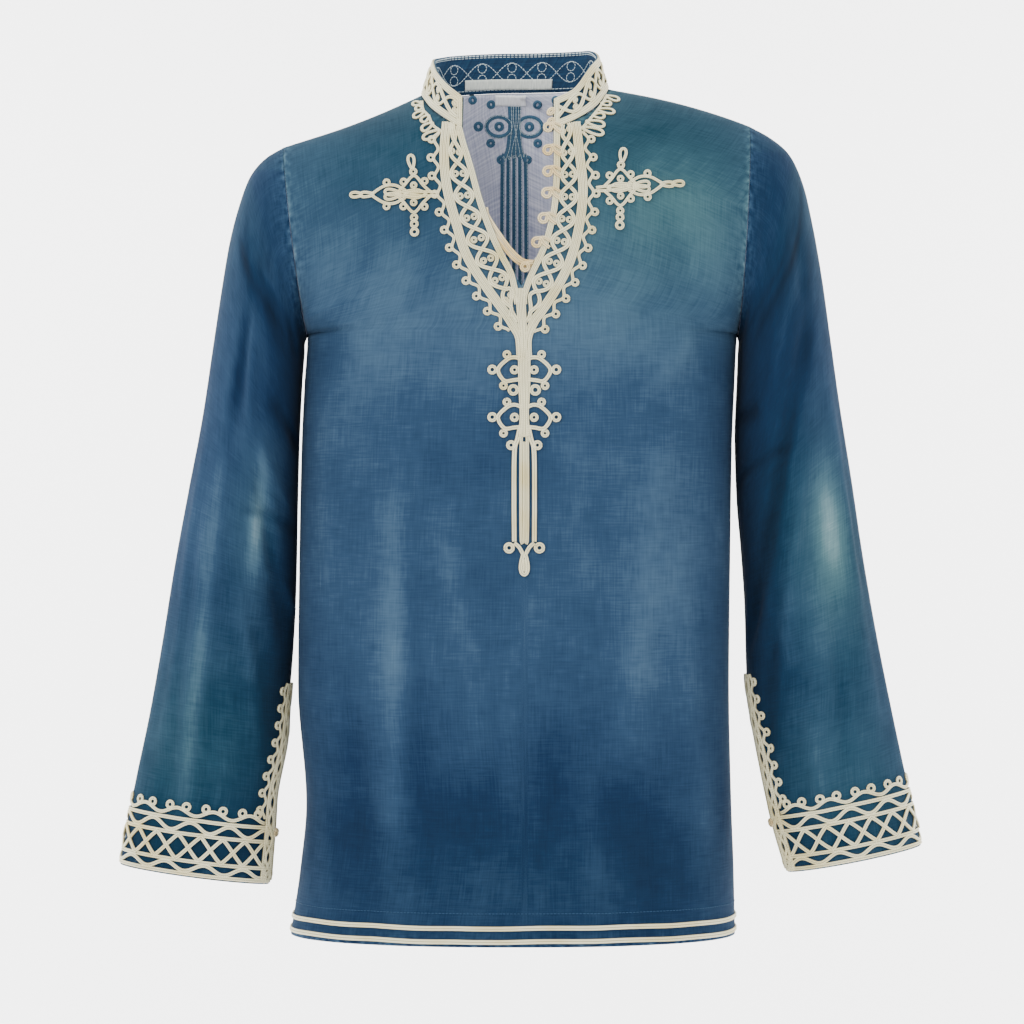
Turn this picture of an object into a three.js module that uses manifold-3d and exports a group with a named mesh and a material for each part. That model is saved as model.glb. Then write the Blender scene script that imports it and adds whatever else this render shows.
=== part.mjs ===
// Embroidered tunic shirt, held open as a wearer fills it. Millimetres, +Z up, the front faces -Y.
// The origin is where the shirt is held: mid-way between the two neck ends of the shoulder seams.
// Cloth panels are sheets worked out from short tables of sections, given a wall by moving their
// points in along the normal. Braid is drawn flat in a pattern plane, joined, and laid on its panel.
import * as THREE from 'three';
import { mergeVertices } from 'three/addons/utils/BufferGeometryUtils.js';
import Module from 'manifold-3d';

const wasm = await Module();
wasm.setup();

// ---------------------------------------------------------------- driving sizes
const WALL = 1.6;                 // cloth with its turned seam allowance
const SEAM_GAP = 0.3;             // between two panels at a seam
const HEM_Z = -710;
const FRONT = -1;                 // the sign of Y on each face
const BACK = 1;
const BODY_POWER = 2.3;           // superellipse of the body's cross-section
const DOME_FROM = -110;           // the chest starts to close towards the shoulder here
const DOME_POWER = 2.8;
const NECK_RISE = 34;             // how far the yoke would rise between the neck points
const SHOULDER_RISE = { left: -4, right: 2.5 };   // the shoulder seams: one sags, one arches

// Half widths and depths of the body at each height.
const BODY = [
  { z: -710, left: 192, right: 185, front: 113, back: 108 },
  { z: -655, left: 184, right: 184, front: 111, back: 106 },
  { z: -600, left: 179, right: 182, front: 110, back: 104 },
  { z: -500, left: 186, right: 180, front: 108, back: 101 },
  { z: -400, left: 185, right: 181, front: 106, back: 100 },
  { z: -300, left: 183, right: 182.5, front: 105, back: 100 },
  { z: -245, left: 180.5, right: 184.8, front: 104, back: 101 },
  { z: -204, left: 178, right: 187, front: 103, back: 102 },
  { z: -130, left: 203, right: 212, front: 98, back: 100 },
  { z: -60, left: 226, right: 230, front: 92, back: 94 },
  { z: 30, left: 240, right: 240, front: 86, back: 88 },
];

// The seam between the panels and the stand collar, and the collar's top edge, from the left front
// end round the back to the right front end.
const COLLAR = [
  { x: -45.5, y: -80, z: -37, tx: -45, ty: -69, tz: -9 },
  { x: -58.5, y: -72, z: -28, tx: -59, ty: -55, tz: 4 },
  { x: -73, y: -45, z: -14, tx: -68.5, ty: -27, tz: 20 },
  { x: -80.5, y: 0, z: 1, tx: -70.5, ty: 5, tz: 31 },
  { x: -62, y: 38, z: 4, tx: -60, ty: 36, tz: 38 },
  { x: -2, y: 58, z: 9, tx: -1, ty: 53, tz: 43 },
  { x: 60, y: 38, z: 8.5, tx: 60, ty: 36, tz: 43 },
  { x: 77, y: 0, z: 6, tx: 68.5, ty: 5, tz: 34 },
  { x: 67, y: -45, z: -13, tx: 61, ty: -27, tz: 21 },
  { x: 49, y: -72, z: -28, tx: 47, ty: -55, tz: -1 },
  { x: 30, y: -80, z: -37, tx: 30, ty: -69, tz: -11 },
];
const NECK_LEFT = 3;              // rows of COLLAR that lie on the shoulder seams
const NECK_BACK = 5;
const NECK_RIGHT = 7;

// The V slit, from its lower end up to the collar: one edge on each side.
const SLIT = [
  { z: -168, left: 3.2, right: 3.2 },
  { z: -150, left: -6, right: 13 },
  { z: -126, left: -17.5, right: 22.5 },
  { z: -97, left: -28, right: 28.5 },
  { z: -66, left: -36.5, right: 30 },
  { z: -37, left: -45.5, right: 30 },
];

// Armholes: the top is the end of the shoulder seam, the bottom is the underarm.
const ARMHOLE = {
  left: { topX: -198, topZ: -44, lowX: -178, lowZ: -204, depth: 60 },
  right: { topX: 197, topZ: -26, lowX: 187, lowZ: -204, depth: 60 },
};

// Sleeve sections: the outer point, the height of the inner point and how far it stands off the
// body's side seam line, and half the depth from front to back.
const SLEEVE = {
  left: [
    { outX: -198, outZ: -44, inZ: -204, off: 0, depth: 60 },
    { outX: -213, outZ: -53, inZ: -212, off: 2.4, depth: 62 },
    { outX: -226, outZ: -68, inZ: -221, off: 2, depth: 63 },
    { outX: -236, outZ: -94, inZ: -235, off: 2, depth: 63 },
    { outX: -244, outZ: -125, inZ: -254, off: 2, depth: 62 },
    { outX: -251, outZ: -166, inZ: -279, off: 2, depth: 60 },
    { outX: -258, outZ: -212, inZ: -308, off: 2, depth: 58 },
    { outX: -267, outZ: -272, inZ: -345, off: 2, depth: 56 },
    { outX: -277, outZ: -335, inZ: -386, off: 2, depth: 54 },
    { outX: -288, outZ: -400, inZ: -430, off: 2.5, depth: 51 },
    { outX: -299, outZ: -462, inZ: -483, off: 5, depth: 48 },
    { outX: -312, outZ: -524, inZ: -541, off: 12, depth: 44 },
    { outX: -325, outZ: -586, inZ: -603, off: 25, depth: 40 },
    { outX: -337, outZ: -652, inZ: -669, off: 23, depth: 38 },
  ],
  right: [
    { outX: 197, outZ: -26, inZ: -204, off: 0, depth: 60 },
    { outX: 215, outZ: -36, inZ: -212, off: 2.4, depth: 62 },
    { outX: 231, outZ: -50, inZ: -221, off: 2, depth: 63 },
    { outX: 243, outZ: -76, inZ: -235, off: 2, depth: 63 },
    { outX: 251, outZ: -110, inZ: -254, off: 2, depth: 62 },
    { outX: 259, outZ: -155, inZ: -279, off: 2, depth: 60 },
    { outX: 266, outZ: -205, inZ: -308, off: 3, depth: 58 },
    { outX: 274, outZ: -262, inZ: -345, off: 5, depth: 56 },
    { outX: 284, outZ: -325, inZ: -386, off: 9, depth: 54 },
    { outX: 296, outZ: -392, inZ: -438, off: 13, depth: 51 },
    { outX: 309, outZ: -455, inZ: -492, off: 15, depth: 48 },
    { outX: 322, outZ: -515, inZ: -551, off: 23, depth: 44 },
    { outX: 334, outZ: -574, inZ: -609, off: 32, depth: 40 },
    { outX: 343, outZ: -636, inZ: -659, off: 44, depth: 38 },
  ],
};
const CUFF_SLIT = 172;            // length of the slit up the inner edge of each cuff
const CUFF_OPEN = 9;              // half its opening at the hem

// Large soft folds: a ridge (or a trough, where rise is negative) from one point to another.
// On the body x and z are in the front view; on a sleeve they are turn (degrees) and height.
const FOLDS = {
  front: [
    { x0: -62, z0: -372, x1: -30, z1: -570, rise: 3.0, width: 24 },
    { x0: -8, z0: -480, x1: -5, z1: -600, rise: 2.4, width: 20 },
    { x0: -104, z0: -340, x1: -104, z1: -625, rise: 3.2, width: 26 },
    { x0: -140, z0: -500, x1: -120, z1: -700, rise: -2.6, width: 24 },
    { x0: 120, z0: -300, x1: 92, z1: -560, rise: 2.2, width: 30 },
    { x0: 55, z0: -560, x1: 70, z1: -700, rise: 2.6, width: 24 },
    { x0: -155, z0: -235, x1: -120, z1: -125, rise: -1.8, width: 24 },
    { x0: 160, z0: -235, x1: 126, z1: -115, rise: -1.8, width: 24 },
  ],
  back: [
    { x0: -70, z0: -330, x1: -58, z1: -640, rise: 3.2, width: 26 },
    { x0: 48, z0: -360, x1: 62, z1: -690, rise: 3.4, width: 28 },
    { x0: -5, z0: -470, x1: 0, z1: -700, rise: -2.6, width: 24 },
    { x0: 118, z0: -260, x1: 102, z1: -560, rise: 2.4, width: 28 },
    { x0: -150, z0: -235, x1: -112, z1: -110, rise: -1.8, width: 26 },
    { x0: 158, z0: -235, x1: 118, z1: -100, rise: -1.8, width: 26 },
  ],
  left: [
    { x0: 62, z0: -120, x1: 128, z1: -215, rise: -4.5, width: 14 },
    { x0: 84, z0: -108, x1: 70, z1: -300, rise: -3, width: 13 },
    { x0: 118, z0: -262, x1: 165, z1: -300, rise: -3.4, width: 12 },
    { x0: 108, z0: -330, x1: 150, z1: -455, rise: -3.6, width: 15 },
    { x0: 58, z0: -360, x1: 74, z1: -600, rise: 2.8, width: 14 },
    { x0: -70, z0: -130, x1: -130, z1: -250, rise: -3.6, width: 15 },
    { x0: -95, z0: -330, x1: -70, z1: -520, rise: -2.8, width: 15 },
  ],
  right: [
    { x0: 62, z0: -75, x1: 128, z1: -205, rise: -4.2, width: 14 },
    { x0: 55, z0: -120, x1: 62, z1: -175, rise: -2.4, width: 11 },
    { x0: 60, z0: -190, x1: 108, z1: -330, rise: -3.8, width: 15 },
    { x0: 108, z0: -330, x1: 160, z1: -460, rise: -4.2, width: 15 },
    { x0: 128, z0: -270, x1: 165, z1: -276, rise: -3, width: 12 },
    { x0: 40, z0: -260, x1: 44, z1: -520, rise: 2.8, width: 14 },
    { x0: -70, z0: -110, x1: -130, z1: -240, rise: -3.6, width: 15 },
    { x0: -90, z0: -320, x1: -66, z1: -520, rise: -2.8, width: 15 },
  ],
};

// Mesh density.
const PANEL_COLUMNS = 8;          // from the middle to the side seam
const LOW_ROWS = 10;              // from the hem to the underarm
const SLIT_ROWS = 5;
const NECK_ROWS = 5;
const BELOW_SLIT_ROWS = 1;
const SLEEVE_ROWS = 15;
const SLEEVE_COLUMNS = 18;

// Braid.
const BRAID = 4.2;                // width of one braid as it lies
const BRAID_RISE = 1.7;           // its thickness
const BRAID_LIFT = 0.85;          // clear of the faceted cloth below it
const CURVED_LIFT = 1;            // the same where the cloth curves most
const RAIL = 8.2;                 // three braids side by side
const RAIL_PAIR = 5.4;

const COLOURS = {
  cloth: 0x2f5878,
  sleeve: 0x2b5474,
  braid: 0xe3dec4,
  strip: 0xd8ccae,
  label: 0xb4bab4,
};

// ---------------------------------------------------------------- small maths
const v3 = (x, y, z) => new THREE.Vector3(x, y, z);
const mix = (a, b, t) => a + (b - a) * t;
const clamp = (t, low = 0, high = 1) => Math.min(high, Math.max(low, t));
const smooth = (t) => {
  const c = clamp(t);
  return c * c * (3 - 2 * c);
};

// A smooth curve through the rows of a table, without overshoot: the value of one column at a place
// in another.
function read(rows, key, name, at) {
  const up = rows[rows.length - 1][key] > rows[0][key];
  const list = up ? rows : [...rows].reverse();
  const last = list.length - 1;
  const place = clamp(at, list[0][key], list[last][key]);
  let i = 0;
  while (i < last - 1 && list[i + 1][key] < place) i += 1;
  const pitch = (k) => (list[k + 1][name] - list[k][name]) / (list[k + 1][key] - list[k][key]);
  const slope = (k) => {
    if (k === 0 || k === last) return pitch(Math.min(k, last - 1));
    const [before, after] = [pitch(k - 1), pitch(k)];
    return before * after <= 0 ? 0 : (2 * before * after) / (before + after);
  };
  const span = list[i + 1][key] - list[i][key];
  const t = (place - list[i][key]) / span;
  const h = t * t * (3 - 2 * t);
  const bend = t * (1 - t) ** 2 * slope(i) - t * t * (1 - t) * slope(i + 1);
  return mix(list[i][name], list[i + 1][name], h) + span * bend;
}

// The same through rows that are evenly numbered from 0.
function along(rows, name, at) {
  const numbered = rows.map((row, i) => ({ i, value: row[name] }));
  return read(numbered, 'i', 'value', at);
}

// Height of the soft ridges and troughs at a place.
function folded(folds, x, z, scaleX = 1) {
  let rise = 0;
  for (const fold of folds) {
    const dx = (fold.x1 - fold.x0) * scaleX;
    const dz = fold.z1 - fold.z0;
    const px = (x - fold.x0) * scaleX;
    const pz = z - fold.z0;
    const length = Math.hypot(dx, dz);
    const t = (px * dx + pz * dz) / (length * length);
    const off = Math.abs(px * dz - pz * dx) / length;
    const ends = smooth((t + 0.15) / 0.3) * smooth((1.15 - t) / 0.3);
    rise += fold.rise * ends * Math.exp(-((off / (fold.width / 2)) ** 2));
  }
  return rise;
}

// ---------------------------------------------------------------- the body's sheet
const sideOf = (x) => (x < 0 ? 'left' : 'right');
const collarAt = (at) => v3(along(COLLAR, 'x', at), along(COLLAR, 'y', at), along(COLLAR, 'z', at));
const collarTopAt = (at) => v3(along(COLLAR, 'tx', at), along(COLLAR, 'ty', at), along(COLLAR, 'tz', at));
const neckEnd = { left: COLLAR[NECK_LEFT], right: COLLAR[NECK_RIGHT] };

// Height of the line where front and back meet over the shoulder.
function ridge(x) {
  const side = sideOf(x);
  const neck = neckEnd[side];
  const tip = ARMHOLE[side];
  const t = (x - neck.x) / (tip.topX - neck.x);
  if (t >= 0) return mix(neck.z, tip.topZ, t) + SHOULDER_RISE[side] * Math.sin(Math.PI * clamp(t));
  return neck.z + NECK_RISE * Math.cos((Math.PI / 2) * (x / neck.x)) ** 2;
}

function sheetY(x, z, face) {
  const width = read(BODY, 'z', sideOf(x), z);
  const depth = read(BODY, 'z', face === FRONT ? 'front' : 'back', z);
  const across = (1 - clamp(Math.abs(x) / width) ** BODY_POWER) ** (1 / BODY_POWER);
  const up = clamp((z - DOME_FROM) / (ridge(x) - DOME_FROM));
  const dome = (1 - up ** DOME_POWER) ** (1 / DOME_POWER);
  return face * depth * across * dome;
}

// The armhole's plane carries its normal, pointing from the body to the sleeve.
function armholePoint(side, turn, face) {
  const { topX, topZ, lowX, lowZ, depth } = ARMHOLE[side];
  const up = (1 - Math.cos(turn)) / 2;
  return v3(mix(lowX, topX, up), face * depth * Math.sin(turn), mix(lowZ, topZ, up));
}

function armholeFrame(side, point) {
  const { topX, topZ, lowX, lowZ } = ARMHOLE[side];
  const out = side === 'left' ? -1 : 1;
  const across = v3(out * (topZ - lowZ), 0, -out * (topX - lowX)).normalize();
  const middle = v3((topX + lowX) / 2, 0, (topZ + lowZ) / 2);
  const normal = point.clone().sub(middle).normalize();
  return { across, normal };
}

// At the collar's seam the edge leans half-way between the panel and the collar.
function collarFrame(at) {
  const step = 0.02;
  const ahead = collarAt(Math.min(COLLAR.length - 1, at + step));
  const behind = collarAt(Math.max(0, at - step));
  const tangent = ahead.sub(behind).normalize();
  const base = collarAt(at);
  const rise = collarTopAt(at).sub(base).normalize();
  const outward = rise.clone().cross(tangent).normalize();
  if (outward.dot(v3(base.x, base.y + 15, 0)) < 0) outward.negate();
  const normal = outward.multiplyScalar(0.8).add(v3(0, 0, 0.6)).normalize();
  const across = normal.clone().cross(tangent).normalize();
  if (across.z < 0) across.negate();
  return { across, normal };
}

// A sheet is a list of points with optional edge normals, and triangles that face out.
class Sheet {
  constructor() {
    this.points = [];
    this.normals = [];
    this.faces = [];
    this.index = new Map();
  }

  add(point, normal = null) {
    const key = [point.x, point.y, point.z].map((n) => Math.round(n * 1e4)).join();
    if (!this.index.has(key)) {
      this.index.set(key, this.points.length);
      this.points.push(point.clone());
      this.normals.push(normal ? normal.clone() : null);
    }
    return this.index.get(key);
  }

  // Rows of points, each row as long as the last; flip turns the faces round.
  grid(rows, flip) {
    const ids = rows.map((row) => row.map(({ point, normal }) => this.add(point, normal)));
    for (let r = 0; r + 1 < ids.length; r += 1) {
      for (let c = 0; c + 1 < ids[r].length; c += 1) {
        const quad = [ids[r][c], ids[r][c + 1], ids[r + 1][c + 1], ids[r + 1][c]];
        for (const [a, b, d] of [[0, 1, 2], [0, 2, 3]]) {
          const face = [quad[a], quad[b], quad[d]];
          if (new Set(face).size === 3) this.faces.push(flip ? face.reverse() : face);
        }
      }
    }
    return this;
  }

  // Outward normals at the points, with those of the seams kept.
  settle() {
    const sums = this.points.map(() => v3(0, 0, 0));
    for (const face of this.faces) {
      const [a, b, c] = face.map((i) => this.points[i]);
      const normal = b.clone().sub(a).cross(c.clone().sub(a));
      for (const i of face) sums[i].add(normal);
    }
    this.normals = this.normals.map((kept, i) => kept ?? sums[i].normalize());
    return this;
  }

  // The closed wall: the sheet, its copy moved in, and a rim round every open edge.
  wall(thickness) {
    const count = this.points.length;
    const inner = this.points.map((p, i) => p.clone().addScaledVector(this.normals[i], -thickness));
    const faces = [...this.faces, ...this.faces.map(([a, b, c]) => [a + count, c + count, b + count])];
    const edges = new Set(this.faces.flatMap(([a, b, c]) => [`${a},${b}`, `${b},${c}`, `${c},${a}`]));
    for (const edge of edges) {
      const [a, b] = edge.split(',').map(Number);
      if (!edges.has(`${b},${a}`)) faces.push([b, a, a + count], [b, a + count, b + count]);
    }
    return solid([...this.points, ...inner], faces);
  }
}

function solid(points, faces) {
  const geometry = new THREE.BufferGeometry();
  geometry.setAttribute('position', new THREE.Float32BufferAttribute(points.flatMap((p) => [p.x, p.y, p.z]), 3));
  geometry.setIndex(faces.flat());
  return geometry;
}

// The inner edge of half a panel, from the hem to the shoulder seam: the middle line, the slit (front
// only) and the collar's seam.
function innerEdge(face, side) {
  const list = [];
  const half = SEAM_GAP / 2;
  const lowest = ARMHOLE.left.lowZ;
  if (face === FRONT) {
    const middle = SLIT[0].left;
    for (let i = 1; i <= BELOW_SLIT_ROWS; i += 1) {
      list.push({ x: middle, z: mix(lowest, SLIT[0].z, i / BELOW_SLIT_ROWS) });
    }
    for (let i = 1; i <= SLIT_ROWS; i += 1) {
      const z = mix(SLIT[0].z, SLIT[SLIT.length - 1].z, i / SLIT_ROWS);
      if (i < SLIT_ROWS) list.push({ x: read(SLIT, 'z', side, z), z, lean: smooth(i / SLIT_ROWS) });
    }
  } else {
    const rows = BELOW_SLIT_ROWS + SLIT_ROWS - 1;
    const top = COLLAR[NECK_BACK];
    for (let i = 1; i <= rows; i += 1) {
      const t = i / (rows + 1);
      list.push({ x: mix(0, top.x, t * t), z: mix(lowest, top.z, t), lean: t ** 3 });
    }
  }
  const first = { left: 0, right: COLLAR.length - 1 }[side];
  const start = face === FRONT ? first : NECK_BACK;
  const end = side === 'left' ? NECK_LEFT : NECK_RIGHT;
  for (let i = 0; i <= NECK_ROWS; i += 1) {
    const at = mix(start, end, i / NECK_ROWS);
    const { across, normal } = collarFrame(at);
    const point = collarAt(at).addScaledVector(across, -half);
    if (i === NECK_ROWS) point.y = face * half;
    list.push({ x: point.x, y: point.y, z: point.z, normal, lean: 1 });
  }
  return list;
}

// One half of the front or back, from the middle out to the side seam and armhole.
function panelHalf(face, side) {
  const half = SEAM_GAP / 2;
  const out = side === 'left' ? -1 : 1;
  const middle = face === FRONT ? SLIT[0].left : 0;
  const upper = innerEdge(face, side);
  const seat = upper.find((p) => p.y !== undefined);
  const seatShift = seat.y - sheetY(seat.x, seat.z, face);
  const folds = face === FRONT ? FOLDS.front : FOLDS.back;
  const rows = [];
  for (let r = 0; r <= LOW_ROWS; r += 1) {
    const z = mix(HEM_Z, ARMHOLE[side].lowZ, r / LOW_ROWS);
    const edge = v3(out * read(BODY, 'z', side, z), face * half, z);
    rows.push({ inner: { x: middle, z }, outer: edge, normal: v3(out, 0, 0), high: 0 });
  }
  const last = rows[rows.length - 1];
  last.normal = armholeFrame(side, last.outer).normal;
  upper.forEach((inner, i) => {
    const high = (i + 1) / upper.length;
    const outer = armholePoint(side, Math.PI * high, face);
    const { across, normal } = armholeFrame(side, outer);
    outer.addScaledVector(across, -half);
    if (high === 1) outer.y = face * half;
    rows.push({ inner, outer, normal, high });
  });
  return rows.map(({ inner, outer, normal, high }) => {
    const row = [];
    const lean = inner.lean ?? 0;
    const innerY = inner.y ?? sheetY(inner.x, inner.z, face) + lean * seatShift;
    const outerShift = outer.y - sheetY(outer.x, outer.z, face);
    const innerShift = innerY - sheetY(inner.x, inner.z, face);
    for (let c = 0; c <= PANEL_COLUMNS; c += 1) {
      const u = c / PANEL_COLUMNS;
      const s = mix(u, Math.sin((u * Math.PI) / 2), 0.85);
      const x = mix(inner.x, outer.x, s);
      const z = mix(inner.z, outer.z, s) + SHOULDER_RISE[side] * Math.sin(Math.PI * s) * high ** 4;
      let y = sheetY(x, z, face) + outerShift * s ** 6 + innerShift * (1 - s) ** 2;
      y += face * folded(folds, x, z) * (1 - s ** 8) * (1 - high ** 4);
      let seam = null;
      if (c === PANEL_COLUMNS) {
        y = outer.y;
        seam = normal;
      } else if (high === 1) {
        y = face * half;
        seam = v3(-(outer.z - inner.z) * out, 0, (outer.x - inner.x) * out).normalize();
        if (c === 0) seam = inner.normal;
      } else if (c === 0 && inner.normal) {
        y = inner.y;
        seam = inner.normal;
      }
      row.push({ point: v3(x, y, z), normal: seam });
    }
    return row;
  });
}

function panel(face) {
  const left = panelHalf(face, 'left');
  const right = panelHalf(face, 'right');
  const rows = left.map((row, r) => [...row.reverse(), ...right[r]]);
  const middle = PANEL_COLUMNS + 1;
  const sheet = new Sheet();
  sheet.grid(rows.map((row) => row.slice(0, middle)), face === BACK);
  sheet.grid(rows.map((row) => row.slice(middle)), face === BACK);
  return { sheet: sheet.settle(), rows };
}

// ---------------------------------------------------------------- sleeves
function sleeveSection(side, at) {
  const out = side === 'left' ? -1 : 1;
  const rows = SLEEVE[side];
  const inZ = along(rows, 'inZ', at);
  const outer = v3(along(rows, 'outX', at), 0, along(rows, 'outZ', at));
  const inner = v3(out * (read(BODY, 'z', side, inZ) + along(rows, 'off', at)), 0, inZ);
  return { outer, inner, depth: along(rows, 'depth', at) };
}

// turn runs from -180 at the inner edge, over the back, the outer edge at 0 and the front, to 180.
function sleevePoint(side, at, turn) {
  const { outer, inner, depth } = sleeveSection(side, at);
  const angle = (turn * Math.PI) / 180;
  const middle = outer.clone().add(inner).multiplyScalar(0.5);
  const reach = outer.clone().sub(middle);
  const rise = folded(FOLDS[side], turn, mix(outer.z, inner.z, (1 - Math.cos(angle)) / 2), 0.9);
  const swell = rise * smooth(at / 1.5) / Math.max(40, reach.length());
  const scale = 1 + swell;
  return middle.addScaledVector(reach, Math.cos(angle) * scale).add(v3(0, -depth * Math.sin(angle) * scale, 0));
}

const lastSection = SLEEVE.left.length - 1;
// The cuff's slit starts where the inner edge is CUFF_SLIT long down to the hem.
function slitStart(side) {
  let at = lastSection;
  let length = 0;
  let before = sleeveSection(side, at).inner;
  while (length < CUFF_SLIT) {
    at -= 0.05;
    const here = sleeveSection(side, at).inner;
    length += here.distanceTo(before);
    before = here;
  }
  return at;
}

function slitTurn(side, at, start) {
  if (at <= start) return 0;
  const opening = CUFF_OPEN * smooth((at - start) / 2.2 + 0.1);
  const { depth } = sleeveSection(side, at);
  return ((opening / depth) * 180) / Math.PI;
}

function sleeve(side) {
  const out = side === 'left' ? -1 : 1;
  const start = slitStart(side);
  const rows = [];
  const stations = [];
  const above = Math.round((SLEEVE_ROWS * start) / lastSection);
  for (let i = 0; i <= above; i += 1) stations.push((start * i) / above);
  for (let i = 1; i <= SLEEVE_ROWS - above; i += 1) {
    stations.push(mix(start, lastSection, i / (SLEEVE_ROWS - above)));
  }
  for (const at of stations) {
    const row = [];
    const opened = slitTurn(side, at, start);
    for (let c = 0; c <= SLEEVE_COLUMNS; c += 1) {
      const closed = opened === 0 && c === SLEEVE_COLUMNS;
      const turn = closed ? -180 : mix(-180 + opened, 180 - opened, c / SLEEVE_COLUMNS);
      const point = sleevePoint(side, at, turn);
      let normal = null;
      if (at === 0) {
        const frame = armholeFrame(side, point);
        point.addScaledVector(frame.across, SEAM_GAP / 2);
        normal = frame.normal;
      }
      row.push({ point, normal });
    }
    rows.push(row);
  }
  const sheet = new Sheet().grid(rows, out < 0).settle();
  return { sheet, rows, stations, start };
}

// ---------------------------------------------------------------- collar
const COLLAR_HEIGHTS = [0, 0.5, 1];
const COLLAR_HEIGHT = 33;         // from its seam to its top edge, laid flat

// The places along COLLAR where the panels' neck edges have their points.
function collarPlaces() {
  const stops = [0, NECK_LEFT, NECK_BACK, NECK_RIGHT, COLLAR.length - 1];
  const places = [0];
  for (let i = 1; i < stops.length; i += 1) {
    for (let n = 1; n <= NECK_ROWS; n += 1) places.push(mix(stops[i - 1], stops[i], n / NECK_ROWS));
  }
  return places;
}

function collarSheet() {
  const rows = [];
  for (const h of COLLAR_HEIGHTS) {
    const row = [];
    for (const at of collarPlaces()) {
      const { across, normal } = collarFrame(at);
      const base = collarAt(at).addScaledVector(across, SEAM_GAP / 2);
      const point = base.lerp(collarTopAt(at), h);
      row.push({ point, normal: h === 0 ? normal : null });
    }
    rows.push(row);
  }
  const sheet = new Sheet().grid(rows, true).settle();
  return { sheet, rows };
}

// ---------------------------------------------------------------- laying flat work on cloth
// A ground maps a flat pattern plane onto a faceted sheet. Its grid has the same triangles as the
// sheet, with one more column beyond each end for what reaches past an edge.
class Ground {
  constructor(sheet, rows, flat) {
    const full = rows.map((row) => {
      const cells = row.map(({ point }) => {
        const id = sheet.add(point);
        return { point: sheet.points[id], normal: sheet.normals[id] };
      });
      const beyond = (a, b) => ({ point: a.point.clone().multiplyScalar(2).sub(b.point), normal: a.normal });
      return [beyond(cells[0], cells[1]), ...cells, beyond(cells[cells.length - 1], cells[cells.length - 2])];
    });
    this.cells = full.map((row, r) => row.map((cell, c) => ({ ...cell, flat: flat(row, r, c, full) })));
    this.triangles = [];
    this.lines = [];
    for (let r = 0; r < this.cells.length; r += 1) {
      for (let c = 0; c < this.cells[r].length; c += 1) {
        const here = this.cells[r][c];
        const right = this.cells[r][c + 1];
        const up = this.cells[r + 1]?.[c];
        const far = this.cells[r + 1]?.[c + 1];
        if (right) this.lines.push([here.flat, right.flat]);
        if (up) this.lines.push([here.flat, up.flat]);
        if (far) this.triangles.push([here, right, far], [here, far, up]);
      }
    }
  }

  at(u, v, lift) {
    let best = null;
    let bestMiss = Infinity;
    for (const triangle of this.triangles) {
      const [a, b, c] = triangle.map((corner) => corner.flat);
      const area = (b[0] - a[0]) * (c[1] - a[1]) - (c[0] - a[0]) * (b[1] - a[1]);
      if (Math.abs(area) < 1e-9) continue;
      const second = ((u - a[0]) * (c[1] - a[1]) - (c[0] - a[0]) * (v - a[1])) / area;
      const third = ((b[0] - a[0]) * (v - a[1]) - (u - a[0]) * (b[1] - a[1])) / area;
      const miss = Math.max(0, -second, -third, second + third - 1) * Math.sqrt(Math.abs(area));
      if (miss < bestMiss) {
        bestMiss = miss;
        best = { triangle, weights: [1 - second - third, second, third] };
      }
      if (miss === 0) break;
    }
    const point = v3(0, 0, 0);
    const normal = v3(0, 0, 0);
    best.triangle.forEach((corner, i) => {
      point.addScaledVector(corner.point, best.weights[i]);
      normal.addScaledVector(corner.normal, best.weights[i]);
    });
    return point.addScaledVector(normal.normalize(), lift);
  }

  // Where a flat segment crosses the grid's rows and columns, as fractions of its length.
  cuts(a, b) {
    const cuts = [];
    for (const [p, q] of this.lines) {
      const d = (b[0] - a[0]) * (q[1] - p[1]) - (b[1] - a[1]) * (q[0] - p[0]);
      if (Math.abs(d) < 1e-9) continue;
      const t = ((p[0] - a[0]) * (q[1] - p[1]) - (p[1] - a[1]) * (q[0] - p[0])) / d;
      const s = ((p[0] - a[0]) * (b[1] - a[1]) - (p[1] - a[1]) * (b[0] - a[0])) / d;
      if (s >= 0 && s <= 1 && t > 0 && t < 1) cuts.push(t);
    }
    return cuts.sort((m, n) => m - n);
  }
}

const seenFromFront = (row, r, c) => [row[c].point.x, row[c].point.z];
// Distance round a row from its middle, and distance up a column from the last row (the hem).
function unrolled(row, r, c, rows) {
  const middle = (row.length - 1) / 2;
  const spot = (list, at) => list[Math.floor(at)].point.clone().lerp(list[Math.ceil(at)].point, at % 1);
  let around = 0;
  const way = Math.sign(c - middle);
  for (let i = middle; way * (c - i) > 1e-6; i += way * (i % 1 || 1)) {
    around += spot(row, i).distanceTo(spot(row, i + way * (i % 1 || 1)));
  }
  let up = 0;
  for (let i = r; i + 1 < rows.length; i += 1) up += rows[i][c].point.distanceTo(rows[i + 1][c].point);
  return [way * around, up];
}

// ---------------------------------------------------------------- flat braid work
const LONG_EDGE = 10;             // flat edges longer than this follow the facets below them
const NEAR_EDGE = 2;              // no new point this near to another
const OUTLINE_SLACK = 0.55;       // how far the outline may move when a point goes
const THIN_PASSES = 4;
const SWAP_PASSES = 40;

function prism(outline, hole = null) {
  const shape = new THREE.Shape(outline.map(([x, y]) => new THREE.Vector2(x, y)));
  if (hole) shape.holes.push(new THREE.Path(hole.map(([x, y]) => new THREE.Vector2(x, y))));
  const geometry = new THREE.ExtrudeGeometry(shape, { depth: 1, bevelEnabled: false });
  geometry.deleteAttribute('normal');
  geometry.deleteAttribute('uv');
  const merged = mergeVertices(geometry, 1e-5);
  return new wasm.Manifold(new wasm.Mesh({
    numProp: 3,
    vertProperties: merged.attributes.position.array,
    triVerts: new Uint32Array(merged.index.array),
  }));
}

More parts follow.
